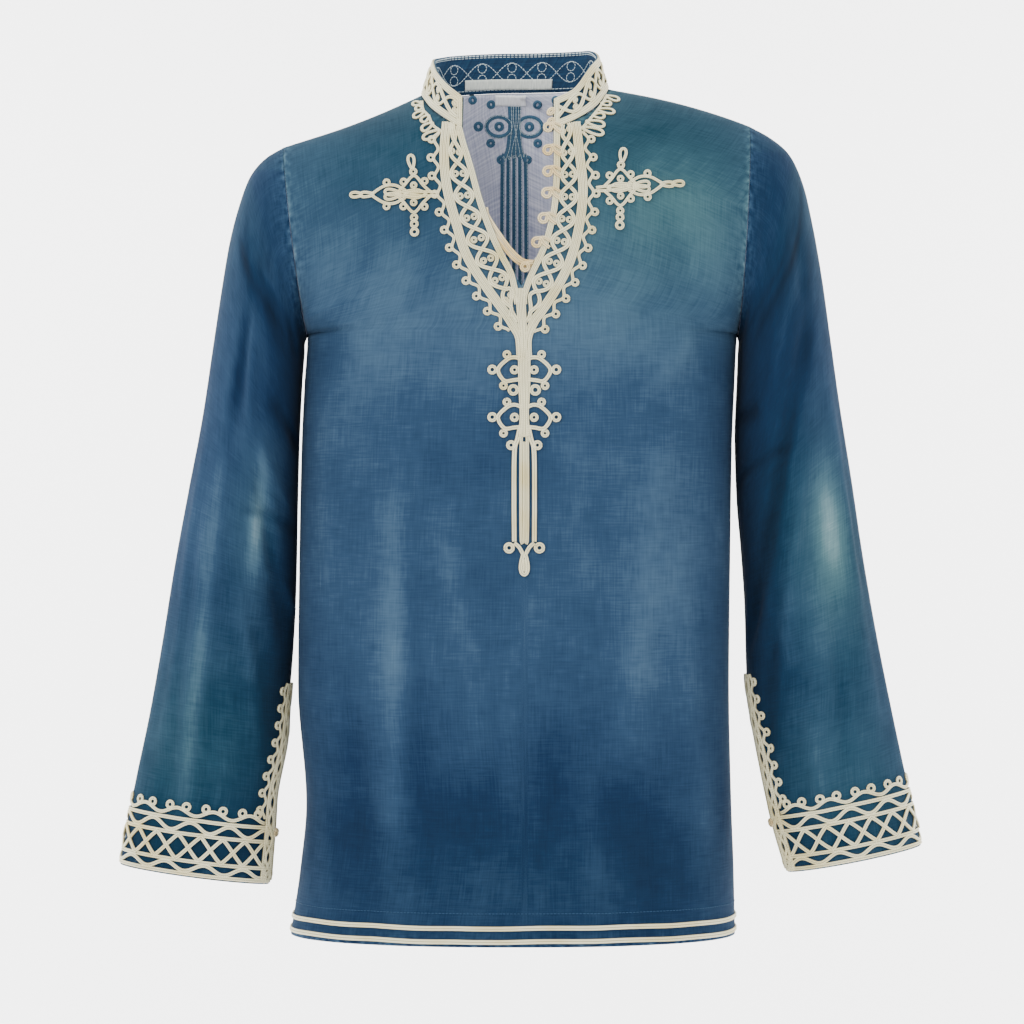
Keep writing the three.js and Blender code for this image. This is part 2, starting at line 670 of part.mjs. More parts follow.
// A braid along a line of points, with mitred corners.
function strip(points, width = BRAID) {
  const left = [];
  const right = [];
  points.forEach(([x, y], i) => {
    const [ax, ay] = points[Math.max(0, i - 1)];
    const [bx, by] = points[Math.min(points.length - 1, i + 1)];
    const before = i > 0 ? Math.atan2(y - ay, x - ax) : Math.atan2(by - y, bx - x);
    const after = i < points.length - 1 ? Math.atan2(by - y, bx - x) : before;
    const turn = Math.atan2(Math.sin(after - before), Math.cos(after - before));
    const angle = before + turn / 2 + Math.PI / 2;
    const reach = width / 2 / Math.max(0.5, Math.cos(turn / 2));
    left.push([x + Math.cos(angle) * reach, y + Math.sin(angle) * reach]);
    right.unshift([x - Math.cos(angle) * reach, y - Math.sin(angle) * reach]);
  });
  return prism([...left, ...right]);
}

function polygon(x, y, radiusX, radiusY, sides, turn = 0) {
  return Array.from({ length: sides }, (_, i) => {
    const angle = turn + (2 * Math.PI * i) / sides;
    return [x + radiusX * Math.cos(angle), y + radiusY * Math.sin(angle)];
  });
}
const disc = ([x, y], radius = 4.3, sides = 5) => prism(polygon(x, y, radius, radius, sides, 0.3));
const petal = ([x, y], radiusX, radiusY) => prism(polygon(x, y, radiusX, radiusY, 8));
function ring([x, y], radius = 5, hole = 1.8) {
  return prism(polygon(x, y, radius, radius, 7, 0.2), polygon(x, y, hole, hole, 5).reverse());
}

const edgesOf = ([a, b, c]) => [[a, b, c], [b, c, a], [c, a, b]];
const ownersOf = (faces) => {
  const owners = new Map();
  faces.forEach((face, f) => edgesOf(face).forEach(([a, b, apex]) => owners.set(`${a},${b}`, { f, apex })));
  return owners;
};
const openEdges = (faces) => {
  const owners = ownersOf(faces);
  const list = [...owners.keys()].map((edge) => edge.split(',').map(Number));
  return list.filter(([a, b]) => !owners.has(`${b},${a}`));
};

// The upper side of a joined flat work, as points and triangles.
function upperSide(flatWork) {
  const mesh = flatWork.getMesh();
  const place = (i) => Array.from(mesh.vertProperties.slice(i * mesh.numProp, i * mesh.numProp + 3));
  const flat = [];
  const renumbered = new Map();
  const faces = [];
  for (let i = 0; i < mesh.triVerts.length; i += 3) {
    const face = Array.from(mesh.triVerts.slice(i, i + 3));
    if (face.some((n) => place(n)[2] < 0.5)) continue;
    faces.push(face.map((n) => {
      if (!renumbered.has(n)) renumbered.set(n, flat.push(place(n).slice(0, 2)) - 1);
      return renumbered.get(n);
    }));
  }
  return { flat, faces };
}

// Takes out the points that the outline hardly needs, and all those inside it that it can.
function thinned({ flat, faces }) {
  let list = faces;
  const area = ([a, b, c]) => (flat[b][0] - flat[a][0]) * (flat[c][1] - flat[a][1])
    - (flat[b][1] - flat[a][1]) * (flat[c][0] - flat[a][0]);
  const bend = (a, n, b) => Math.abs(area([a, n, b])) / Math.hypot(flat[b][0] - flat[a][0], flat[b][1] - flat[a][1]);
  const merge = (n, onto) => {
    const around = list.filter((face) => face.includes(n));
    const links = new Set(around.flat());
    const beside = new Set(list.filter((face) => face.includes(onto)).flat());
    const shared = [...links].filter((m) => beside.has(m) && m !== n && m !== onto);
    const lost = around.filter((face) => face.includes(onto));
    if (shared.length !== lost.length) return false;
    const moved = around.filter((face) => !face.includes(onto)).map((face) => face.map((m) => (m === n ? onto : m)));
    if (moved.some((face) => area(face) < 1e-3)) return false;
    list = [...list.filter((face) => !face.includes(n)), ...moved];
    return true;
  };
  for (let pass = 0; pass < THIN_PASSES; pass += 1) {
    const before = list.length;
    const next = new Map(openEdges(list));
    const previous = new Map([...next].map(([a, b]) => [b, a]));
    for (const n of new Set(list.flat())) {
      if (next.has(n)) {
        const [a, b] = [previous.get(n), next.get(n)];
        const small = bend(a, n, b) < OUTLINE_SLACK;
        if (!small || !merge(n, a)) continue;
        next.set(a, b);
        previous.set(b, a);
        next.delete(n);
      } else {
        const around = new Set(list.filter((face) => face.includes(n)).flat());
        around.delete(n);
        [...around].some((m) => merge(n, m));
      }
    }
    if (list.length === before) break;
  }
  return { flat, faces: list };
}

// Where a long edge takes new points, so that it follows the facets of the ground.
function bends(ground, a, b) {
  const length = Math.hypot(b[0] - a[0], b[1] - a[1]);
  if (length < LONG_EDGE) return [];
  const kept = [];
  for (const t of ground.cuts(a, b)) {
    const clear = t * length > NEAR_EDGE && (1 - t) * length > NEAR_EDGE;
    if (clear && (t - (kept[kept.length - 1] ?? -1)) * length > NEAR_EDGE) kept.push(t);
  }
  return kept.map((t) => [mix(a[0], b[0], t), mix(a[1], b[1], t)]);
}

// Turns long thin triangles into compact ones by swapping the diagonals of pairs.
function compact(flat, faces) {
  const angle = (a, b, c) => {
    const [ax, ay] = [flat[b][0] - flat[a][0], flat[b][1] - flat[a][1]];
    const [bx, by] = [flat[c][0] - flat[a][0], flat[c][1] - flat[a][1]];
    return Math.atan2(Math.abs(ax * by - ay * bx), ax * bx + ay * by);
  };
  const area = (a, b, c) => (flat[b][0] - flat[a][0]) * (flat[c][1] - flat[a][1])
    - (flat[b][1] - flat[a][1]) * (flat[c][0] - flat[a][0]);
  for (let pass = 0; pass < SWAP_PASSES; pass += 1) {
    const owners = ownersOf(faces);
    const touched = new Set();
    for (const [edge, { f, apex }] of [...owners]) {
      const [a, b] = edge.split(',').map(Number);
      const other = owners.get(`${b},${a}`);
      if (!other || touched.has(f) || touched.has(other.f)) continue;
      const far = other.apex;
      const known = owners.has(`${apex},${far}`) || owners.has(`${far},${apex}`);
      if (known || angle(apex, a, b) + angle(far, a, b) <= Math.PI + 1e-6) continue;
      if (area(apex, a, far) < 1e-4 || area(apex, far, b) < 1e-4) continue;
      faces[f] = [apex, a, far];
      faces[other.f] = [apex, far, b];
      owners.set(`${apex},${far}`, { f, apex: a });
      touched.add(f).add(other.f);
    }
    if (touched.size === 0) break;
  }
}

// Joins flat pieces and lays them on a ground, from one height above it to another.
function laid(ground, pieces, low = BRAID_LIFT, high = low + BRAID_RISE) {
  const joined = wasm.Manifold.union(pieces);
  if (joined.decompose().length !== 1) throw new Error('a flat work is not one piece');
  const { flat, faces } = thinned(upperSide(joined));
  for (const [start, last] of openEdges(faces)) {
    let from = start;
    let f = faces.findIndex((face) => edgesOf(face).some(([a, b]) => a === start && b === last));
    for (const point of bends(ground, flat[start], flat[last])) {
      const fresh = flat.push(point) - 1;
      const apex = faces[f].find((n) => n !== from && n !== last);
      faces[f] = [from, fresh, apex];
      f = faces.push([fresh, last, apex]) - 1;
      from = fresh;
    }
  }
  compact(flat, faces);
  const count = flat.length;
  const points = [low, high].flatMap((lift) => flat.map(([u, v]) => ground.at(u, v, lift)));
  const all = faces.flatMap(([a, b, c]) => [[a + count, b + count, c + count], [a, c, b]]);
  for (const [a, b] of openEdges(faces)) all.push([a, b, b + count], [a, b + count, a + count]);
  const [p, q, r] = all[0].map((i) => points[i]);
  const rise = p.clone().sub(points[all[0][0] - count]);
  const out = q.clone().sub(p).cross(r.clone().sub(p)).dot(rise) > 0;
  return solid(points, out ? all : all.map(([a, b, c]) => [a, c, b]));
}

// ---------------------------------------------------------------- lines in a pattern plane
function lengthOf(line) {
  return line.slice(1).reduce((sum, [x, y], i) => sum + Math.hypot(x - line[i][0], y - line[i][1]), 0);
}

function walk(line, part) {
  let left = clamp(part) * lengthOf(line);
  for (let i = 1; i < line.length; i += 1) {
    const [ax, ay] = line[i - 1];
    const [bx, by] = line[i];
    const length = Math.hypot(bx - ax, by - ay);
    if (left <= length || i === line.length - 1) return [mix(ax, bx, left / length), mix(ay, by, left / length)];
    left -= length;
  }
  return line[0];
}

// The same line moved sideways, to its left where off is more than 0.
function beside(line, off) {
  return line.map(([x, y], i) => {
    const [ax, ay] = line[Math.max(0, i - 1)];
    const [bx, by] = line[Math.min(line.length - 1, i + 1)];
    const length = Math.hypot(bx - ax, by - ay);
    return [x - ((by - ay) / length) * off, y + ((bx - ax) / length) * off];
  });
}

// A braid that swings between two lines, first touching one or the other.
function swing(lineA, lineB, halfPitch, first = 0) {
  const count = Math.max(2, Math.round(lengthOf(lineA) / halfPitch));
  const points = Array.from({ length: count + 1 }, (_, i) => walk((i + first) % 2 ? lineB : lineA, i / count));
  return strip(points);
}
const lattice = (lineA, lineB, pitch) => [swing(lineA, lineB, pitch, 0), swing(lineA, lineB, pitch, 1)];

function picots(line, off, pitch, radius = 4.3) {
  const count = Math.max(1, Math.round(lengthOf(line) / pitch));
  const row = beside(line, off);
  return Array.from({ length: count }, (_, i) => disc(walk(row, (i + 0.5) / count), radius));
}

// ---------------------------------------------------------------- the patterns
const NECK_PITCH = 18.5;
const PICOT_PITCH = 15;
const PICOT_OFF = 7.1;            // from the middle of the rail to the middle of the picot
const V_RAILS = {
  left: [[-58.6, -33], [-60.2, -60], [-57.3, -88.6], [-49.5, -118], [-41.3, -143], [-25.6, -168.4], [-8.4, -192.3], [1, -206]],
  right: [[48.7, -33], [51.7, -60], [54.2, -88], [51, -118], [43.5, -147], [31, -172], [14.7, -196], [6, -206]],
};
const NECK_PICOTS = {
  left: [[-57, -38], [-66, -31], [-77, -19.5], [-85, -8]],
  right: [[47, -38], [57, -35], [73, -22], [84, -8]],
};
const LOOP_HEIGHTS = [-55, -73, -91, -112, -132];
const COLLAR_LOOPS = [27, 17, 6];  // heights on the right front end of the collar
const COLLAR_PITCH = 26.5;
const CUFF_PITCH = 18.8;
const STEM_X = 3.6;
const KNOTS = [-237, -276];
const BACK_EYE = { x: 16, z: -14, radiusX: 13.6, radiusZ: 9 };

function neckBraid() {
  const pieces = [];
  for (const side of ['left', 'right']) {
    const out = side === 'left' ? -1 : 1;
    const slit = SLIT.map((row) => [row[side], row.z]).reverse();
    const inner = beside(slit, out * 4.7);
    inner.push([STEM_X + out * 2, SLIT[0].z - 6]);
    const outer = V_RAILS[side];
    pieces.push(strip(inner, RAIL), strip(outer, RAIL));
    pieces.push(...lattice(inner, outer.slice(0, -1), NECK_PITCH));
    pieces.push(...picots(outer, out * PICOT_OFF, PICOT_PITCH));
    pieces.push(strip(NECK_PICOTS[side]), ...picots(NECK_PICOTS[side], -out * 5.2, 10.5));
  }
  pieces.push(strip([[STEM_X - 0.6, SLIT[0].z - 4], [STEM_X - 0.6, -206]], RAIL_PAIR));
  pieces.push(strip([[STEM_X, -200], [STEM_X, -220]], 12));
  for (const z of LOOP_HEIGHTS) pieces.push(ring([read(SLIT, 'z', 'right', z) - 3, z]));
  return pieces;
}

function stemBraid() {
  const shifted = (list, z = 0) => list.map(([x, y]) => [STEM_X + x, y + z]);
  const pieces = [strip(shifted([[0, -221.5], [0, -302]]), 9), strip(shifted([[0, -300], [0, -376]]), RAIL)];
  pieces.push(petal([STEM_X, -376], 4.1, 4.1), petal([STEM_X, -398], 4.7, 10));
  for (const out of [-1, 1]) {
    const mirrored = (list, z) => shifted(list.map(([x, y]) => [out * x, y]), z);
    for (const z of KNOTS) {
      pieces.push(strip(mirrored([[0, 9], [13.5, 12.3], [26, 0], [15.5, -12.5], [0, -9]], z)));
      for (const spot of [[13.5, 12.3], [26, 0], [15.5, -12.5], [8, 0]]) pieces.push(disc(mirrored([spot], z)[0]));
    }
    pieces.push(disc(mirrored([[7.6, -256]])[0]), disc(mirrored([[11, -298.5]])[0]));
    pieces.push(strip(mirrored([[0, -292], [8.6, -300], [8.6, -380], [0, -391]])));
    pieces.push(disc(mirrored([[12, -383.5]])[0]));
  }
  return pieces;
}

// A spray seen along its own axis: a runs outwards from the V, b runs up.
const SPRAY = {
  left: { x: -84, z: -91.5, rise: 0 },
  right: { x: 84, z: -86, rise: 0.09 },
};
function sprayBraid(side) {
  const { x, z, rise } = SPRAY[side];
  const out = side === 'left' ? -1 : 1;
  const put = ([a, b]) => [x + out * a, z + b + rise * a];
  const line = (points, width) => strip(points.map(put), width);
  const pieces = [line([[-15, 0], [44, 0]], 5.4), petal(put([46, 0]), 8, 4)];
  pieces.push(line([[1, -32], [2.5, 22]]), petal(put([3.5, 27]), 4, 8));
  for (const up of [-1, 1]) {
    pieces.push(line([[-12, 0], [1, up * 15], [17, 0]]));
    pieces.push(line([[-9, up * 11], [14, up * 11.5]]));
    pieces.push(line([[17, 0], [24, up * 10.5]]));
    pieces.push(disc(put([-9.5, up * 11.5]), 4), disc(put([13, up * 11.5]), 4), disc(put([24, up * 10]), 4));
  }
  pieces.push(disc(put([1, -22])), disc(put([1, -31]), 4.4), disc(put([3, 18]), 4));
  return pieces;
}

function backBraid() {
  const pieces = [strip([[0, 0], [0, -196]], 12), petal([0, -207], 4.7, 9), strip([[0, -190], [0, -202]])];
  for (const out of [-1, 1]) {
    const put = (list) => list.map(([x, y]) => [out * x, y]);
    const { x, z, radiusX, radiusZ } = BACK_EYE;
    const [outside, inside] = [1, -1].map((way) => {
      return polygon(out * x, z, radiusX + (way * BRAID) / 2, radiusZ + (way * BRAID) / 2, 10);
    });
    pieces.push(prism(outside, inside.reverse()));
    pieces.push(strip(put([[3, -24], [13, -46], [13, -192], [0, -202]])));
    for (const spot of [[31.6, -14.4], [19, -26.5], [17, -46], [17, -189]]) pieces.push(disc(put([spot])[0]));
  }
  return pieces;
}

function collarBraid(length, height) {
  const level = (v) => [[2, v], [length - 2, v]];
  const low = level(3);
  const high = level(height - 3);
  const pieces = [strip(low, RAIL_PAIR), strip(high, RAIL_PAIR), ...lattice(low, high, COLLAR_PITCH)];
  for (const u of [3.2, length - 3.2]) pieces.push(strip([[u, 1], [u, height - 1]], RAIL_PAIR));
  for (const v of COLLAR_LOOPS) pieces.push(ring([length + 1.5, v]));
  return pieces;
}

const CUFF_RAILS = [2.8, 13.5, 36, 48];
function cuffBraid(edge) {
  const pieces = [];
  const level = (v) => [[-edge(v) + 0.6, v], [edge(v) - 0.6, v]];
  for (const v of CUFF_RAILS) pieces.push(strip(level(v)));
  pieces.push(...lattice(level(CUFF_RAILS[1]), level(CUFF_RAILS[2]), CUFF_PITCH));
  const middle = level(CUFF_RAILS[3]).map(([u, v]) => [u * 0.84, v]);
  pieces.push(...picots(middle, 5.6, 16));
  for (const out of [-1, 1]) {
    const trim = (off) => [0, 0.33, 0.67, 1].map((t) => {
      const v = mix(1, CUFF_SLIT - 1, t);
      return [out * (edge(v) - off), v];
    });
    pieces.push(strip(trim(2.7)), strip(trim(11.5)));
    pieces.push(strip([walk(trim(2.7), 1), walk(trim(11.5), 1)]));
    const free = trim(11.5).slice(1);
    pieces.push(...picots(free, out * 5.6, PICOT_PITCH));
  }
  pieces.push(disc([edge(44) + 1, 44]));
  return pieces;
}

// ---------------------------------------------------------------- scene graph
const group = new THREE.Group();
function addMesh(name, geometry, color, roughness = 0.9) {
  const mesh = new THREE.Mesh(geometry, new THREE.MeshStandardMaterial({ color, roughness, metalness: 0 }));
  mesh.name = name;
  group.add(mesh);
  return mesh;
}

const front = panel(FRONT);
const back = panel(BACK);
const sleeves = { left: sleeve('left'), right: sleeve('right') };
const collar = collarSheet();
addMesh('front', front.sheet.wall(WALL), COLOURS.cloth);
addMesh('back', back.sheet.wall(WALL), COLOURS.cloth);
addMesh('sleeve_left', sleeves.left.sheet.wall(WALL), COLOURS.sleeve);
addMesh('sleeve_right', sleeves.right.sheet.wall(WALL), COLOURS.sleeve);
addMesh('collar', collar.sheet.wall(WALL), COLOURS.cloth);

const frontGround = new Ground(front.sheet, front.rows, seenFromFront);
const backGround = new Ground(back.sheet, back.rows, seenFromFront);
addMesh('braid_neck', laid(frontGround, neckBraid(), CURVED_LIFT), COLOURS.braid);
addMesh('braid_stem', laid(frontGround, stemBraid()), COLOURS.braid);
for (const side of ['left', 'right']) {
  addMesh(`braid_chest_${side}`, laid(frontGround, sprayBraid(side)), COLOURS.braid);
}
addMesh('braid_back', laid(backGround, backBraid(), CURVED_LIFT), COLOURS.braid);

const collarAlong = collar.rows[1].reduce((list, { point }, i, row) => {
  list.push(i === 0 ? 0 : list[i - 1] + point.distanceTo(row[i - 1].point));
  return list;
}, []);
const collarLength = collarAlong[collarAlong.length - 1];
const collarEdge = collarAlong[1];
const collarFlat = (row, r, c) => {
  const beyond = c === 0 ? -collarEdge : collarLength + collarEdge;
  return [collarAlong[c - 1] ?? beyond, COLLAR_HEIGHTS[r] * COLLAR_HEIGHT];
};
const collarGround = new Ground(collar.sheet, collar.rows, collarFlat);
addMesh('braid_collar', laid(collarGround, collarBraid(collarLength, COLLAR_HEIGHT)), COLOURS.braid);

for (const side of ['left', 'right']) {
  const { sheet, rows, start, stations } = sleeves[side];
  const from = stations.findIndex((at) => at >= start) - 1;
  const ground = new Ground(sheet, rows.slice(from), unrolled);
  const edge = (v) => {
    const column = ground.cells.map((row) => row[row.length - 2].flat);
    const known = column.map(([u, up]) => ({ up, u })).sort((a, b) => a.up - b.up);
    return read(known, 'up', 'u', v);
  };
  addMesh(`braid_cuff_${side}`, laid(ground, cuffBraid(edge), CURVED_LIFT), COLOURS.braid);
}

// What lies inside: the two blank labels and the strip under the left edge of the slit.
const INSIDE = -(WALL + 0.6);
const LABEL_THICK = 1;
const STRIP_THICK = 1.2;
const LABEL = { from: 148, to: 227, low: 3, high: 11.6 };
const TAB = { from: -19, to: 8, low: -0.5, high: 8 };
const PLACKET = [[-27.5, -103], [-25.5, -111], [-14.5, -128], [-4.5, -141], [4.8, -148.5], [14.5, -149.5], [21, -142]];
const block = ({ from, to, low, high }) => prism([[from, low], [to, low], [to, high], [from, high]]);
const label = laid(collarGround, [block(LABEL)], INSIDE - LABEL_THICK, INSIDE);
const tab = laid(backGround, [block(TAB)], INSIDE - LABEL_THICK, INSIDE);
const placket = laid(frontGround, [strip(PLACKET, 7)], INSIDE - STRIP_THICK, INSIDE);
addMesh('neck_label', label, COLOURS.label);
addMesh('size_tab', tab, COLOURS.label);
addMesh('placket_strip', placket, COLOURS.strip);

const HEM_BRAIDS = { upper: 15.5, lower: 4.6 };
const HEM_BRAID_END = 2.6;
for (const [name, part] of Object.entries({ front, back })) {
  const ground = new Ground(part.sheet, part.rows.slice(0, 2).reverse(), unrolled);
  const low = Math.max(...ground.cells.map((row) => row[1].flat[0])) + HEM_BRAID_END;
  const high = Math.min(...ground.cells.map((row) => row[row.length - 2].flat[0])) - HEM_BRAID_END;
  for (const [level, v] of Object.entries(HEM_BRAIDS)) {
    addMesh(`hem_braid_${name}_${level}`, laid(ground, [strip([[low, v], [high, v]], 4.6)]), COLOURS.braid);
  }
}

export default group;
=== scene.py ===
"""Visual model of an embroidered tunic shirt, filled out as a wearer fills it.

Cloth panels are thin shells on the frame's panels, worked out from the same tables of sections, with
their creases added. Couched braid is swept along lines drawn in each panel's pattern plane. Lengths
are millimetres until a mesh is made; +Z is up and the front faces -Y.
"""

from __future__ import annotations

import logging
import math
from dataclasses import dataclass, field
from enum import Enum
from typing import Iterable, Sequence

import bpy
import numpy as np
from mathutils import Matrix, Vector
from mathutils.bvhtree import BVHTree

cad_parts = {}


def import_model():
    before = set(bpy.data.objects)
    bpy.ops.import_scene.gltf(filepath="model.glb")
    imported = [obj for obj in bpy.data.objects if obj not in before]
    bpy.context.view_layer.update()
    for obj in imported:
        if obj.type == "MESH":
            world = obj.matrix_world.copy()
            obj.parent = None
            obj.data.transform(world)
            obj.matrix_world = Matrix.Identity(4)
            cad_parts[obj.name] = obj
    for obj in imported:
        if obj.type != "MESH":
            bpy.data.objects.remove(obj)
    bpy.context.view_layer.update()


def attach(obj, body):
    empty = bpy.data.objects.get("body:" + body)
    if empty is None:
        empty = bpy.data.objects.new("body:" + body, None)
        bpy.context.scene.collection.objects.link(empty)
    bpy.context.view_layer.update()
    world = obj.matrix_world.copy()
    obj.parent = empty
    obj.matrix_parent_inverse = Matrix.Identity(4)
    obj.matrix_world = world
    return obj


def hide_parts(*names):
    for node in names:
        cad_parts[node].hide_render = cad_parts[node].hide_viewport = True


LOG = logging.getLogger("tunic_shirt")
MM = 0.001

# ---- driving sizes
CLOTH = 0.9                 # one layer of washed cotton and linen, with its relief
SEAM_GAP = 0.3
HEM_Z = -710.0
BODY_POWER = 2.3            # superellipse of the body's cross-section
DOME_FROM = -110.0          # the chest starts to close towards the shoulder here
DOME_POWER = 2.8
NECK_RISE = 34.0
SHOULDER_RISE = {-1: -4.0, 1: 2.5}     # the shoulder seams: the left sags, the right arches
CUFF_SLIT = 172.0
CUFF_OPEN = 9.0
COLLAR_HEIGHT = 33.0
NECK_LEFT, NECK_BACK, NECK_RIGHT, COLLAR_END = 3, 5, 7, 10      # rows of the collar's table
UPPER_STEPS = 11            # stretches of a panel's inner edge above the underarm
SLIT_STEPS = 6              # of them, up to the collar

Array = np.ndarray
Material = bpy.types.Material
Piece = bpy.types.Object
Node = bpy.types.Node
Socket = bpy.types.NodeSocket
Tree = bpy.types.NodeTree
Stops = Sequence[tuple[float, str]]


class Option(Enum):
    """A choice whose name is also a table's column or part of a piece's name."""

    @property
    def word(self) -> str:
        """Its name in small letters."""
        return self.name.lower()


class Face(Option):
    """A face of the body, with the sign of its Y."""

    FRONT = -1
    BACK = 1


class Side(Option):
    """A side of the shirt as it is seen from the front, with the sign of its X."""

    LEFT = -1
    RIGHT = 1


# ---- small maths
def smooth(t: Array | float) -> Array:
    """A soft step from 0 to 1."""
    c = np.clip(t, 0.0, 1.0)
    return c * c * (3 - 2 * c)


def mix(a: Array | float, b: Array | float, t: Array | float) -> Array:
    """The value at t between a and b."""
    return a + (b - a) * t


def unit(v: Array) -> Array:
    """Vectors of length 1."""
    return v / np.maximum(np.linalg.norm(v, axis=-1, keepdims=True), 1e-9)


def travelled(points: Array, axis: int = 0) -> Array:
    """Distance along points from their first.

    Args:
        points: The points, with their coordinates on the last axis.
        axis: The axis that the distance runs along.

    Returns:
        The distances, which start at 0.
    """
    steps = np.linalg.norm(np.diff(points, axis=axis), axis=-1)
    return np.insert(np.cumsum(steps, axis=axis), 0, 0.0, axis=axis)


def stack(*parts: Array | float) -> Array:
    """Coordinates joined along a new last axis."""
    return np.stack(np.broadcast_arrays(*parts), axis=-1)


class Table:
    """Rows of named sizes, read along a smooth curve that never overshoots.

    Args:
        names: The columns' names, parted by spaces.
        rows: One row of numbers for each section.
    """

    def __init__(self, names: str, rows: Sequence[Sequence[float]]) -> None:
        """Keeps each column by its name, and a column of row numbers as i."""
        data = np.array(rows, float)
        self.columns = {name: data[:, n] for n, name in enumerate(names.split())}
        self.columns["i"] = np.arange(len(data), dtype=float)

    def read(self, key: str, name: str, at: Array | float) -> Array:
        """Reads one column at places in another.

        Args:
            key: The column that at is measured in.
            name: The column to read.
            at: Places, clamped to the key's range.

        Returns:
            The values at those places.
        """
        x = self.columns[key]
        y = self.columns[name]
        if x[-1] < x[0]:
            x, y = x[::-1], y[::-1]
        place = np.clip(at, x[0], x[-1])
        pitch = np.diff(y) / np.diff(x)
        slope = np.concatenate([pitch[:1], np.zeros(len(x) - 2), pitch[-1:]])
        before, after = pitch[:-1], pitch[1:]
        same = before * after > 0
        slope[1:-1][same] = 2 * before[same] * after[same] / (before[same] + after[same])
        i = np.clip(np.searchsorted(x, place, side="right") - 1, 0, len(x) - 2)
        span = x[i + 1] - x[i]
        t = (place - x[i]) / span
        bend = t * (1 - t) ** 2 * slope[i] - t * t * (1 - t) * slope[i + 1]
        return mix(y[i], y[i + 1], t * t * (3 - 2 * t)) + span * bend


@dataclass(frozen=True)
class Fold:
    """A soft ridge, or a trough where rise is below 0, from one point to another.

    On the body x and z are in the front view; on a sleeve x is the turn in degrees.
    """

    x0: float
    z0: float
    x1: float
    z1: float
    rise: float
    width: float
    bow: float = 0.0

    def height(self, x: Array, z: Array, scale: float) -> Array:
        """Its height at places, uneven along its length.

        Args:
            x: Places across.
            z: Places up.
            scale: Millimetres in one unit of x.

        Returns:
            The height in millimetres.
        """
        dx = (self.x1 - self.x0) * scale
        dz = self.z1 - self.z0
        length = math.hypot(dx, dz)
        px = (x - self.x0) * scale
        pz = z - self.z0
        t = (px * dx + pz * dz) / length**2
        off = (px * dz - pz * dx) / length + self.bow * np.sin(math.pi * np.clip(t, 0, 1))
        ends = smooth((t + 0.15) / 0.3) * smooth((1.15 - t) / 0.3)
        uneven = 1 + 0.22 * np.sin(length * t / 23 + self.x0) + 0.12 * np.sin(length * t / 9.5 + self.z0)
        spread = self.width / 2 * (1 + 0.18 * np.sin(length * t / 31 + self.z1))
        return self.rise * ends * uneven * np.exp(-((off / spread) ** 2))


def folded(folds: Iterable[Fold], x: Array, z: Array, scale: float = 1.0) -> Array:
    """The height of many folds together."""
    return sum(fold.height(x, z, scale) for fold in folds)


# ---- the cut, in tables
BODY = Table(
    "z left right front back",
    [
        [-710, 192, 185, 113, 108],
        [-655, 184, 184, 111, 106],
        [-600, 179, 182, 110, 104],
        [-500, 186, 180, 108, 101],
        [-400, 185, 181, 106, 100],
        [-300, 183, 182.5, 105, 100],
        [-245, 180.5, 184.8, 104, 101],
        [-204, 178, 187, 103, 102],
        [-130, 203, 212, 98, 100],
        [-60, 226, 230, 92, 94],
        [30, 240, 240, 86, 88],
    ],
)
COLLAR = Table(
    "x y z tx ty tz",
    [
        [-45.5, -80, -37, -45, -69, -9],
        [-58.5, -72, -28, -59, -55, 4],
        [-73, -45, -14, -68.5, -27, 20],
        [-80.5, 0, 1, -70.5, 5, 31],
        [-62, 38, 4, -60, 36, 38],
        [-2, 58, 9, -1, 53, 43],
        [60, 38, 8.5, 60, 36, 43],
        [77, 0, 6, 68.5, 5, 34],
        [67, -45, -13, 61, -27, 21],
        [49, -72, -28, 47, -55, -1],
        [30, -80, -37, 30, -69, -11],
    ],
)
SLIT = Table(
    "z left right",
    [
        [-168, 3.2, 3.2],
        [-150, -6, 13],
        [-126, -17.5, 22.5],
        [-97, -28, 28.5],
        [-66, -36.5, 30],
        [-37, -45.5, 30],
    ],
)


@dataclass(frozen=True)
class Armhole:
    """The end of the shoulder seam, the underarm, and half the depth between them."""

    top_x: float
    top_z: float
    low_x: float
    low_z: float = -204.0
    depth: float = 60.0


ARMHOLES = {Side.LEFT: Armhole(-198, -44, -178), Side.RIGHT: Armhole(197, -26, 187)}
SLEEVES = {
    Side.LEFT: Table(
        "out_x out_z in_z off depth",
        [
            [-198, -44, -204, 0, 60],
            [-213, -53, -212, 2.4, 62],
            [-226, -68, -221, 2, 63],
            [-236, -94, -235, 2, 63],
            [-244, -125, -254, 2, 62],
            [-251, -166, -279, 2, 60],
            [-258, -212, -308, 2, 58],
            [-267, -272, -345, 2, 56],
            [-279, -335, -386, 2, 54],
            [-291, -400, -430, 2.5, 51],
            [-301, -462, -483, 5, 48],
            [-312, -524, -541, 12, 44],
            [-325, -586, -603, 25, 40],
            [-337, -652, -669, 23, 38],
        ],
    ),
    Side.RIGHT: Table(
        "out_x out_z in_z off depth",
        [
            [197, -26, -204, 0, 60],
            [215, -36, -212, 2.4, 62],
            [231, -50, -221, 2, 63],
            [243, -76, -235, 2, 63],
            [251, -110, -254, 2, 62],
            [259, -155, -279, 2, 60],
            [266, -205, -308, 3, 58],
            [274, -262, -345, 5, 56],
            [284, -325, -386, 9, 54],
            [294, -392, -438, 13, 51],
            [305, -455, -492, 15, 48],
            [317, -515, -551, 23, 44],
            [329.5, -574, -609, 32, 40],
            [343, -636, -659, 44, 38],
        ],
    ),
}
LAST_SECTION = 13.0
LEFT_HALF = 480.0           # how far to the left a panel's left half starts when it lies flat

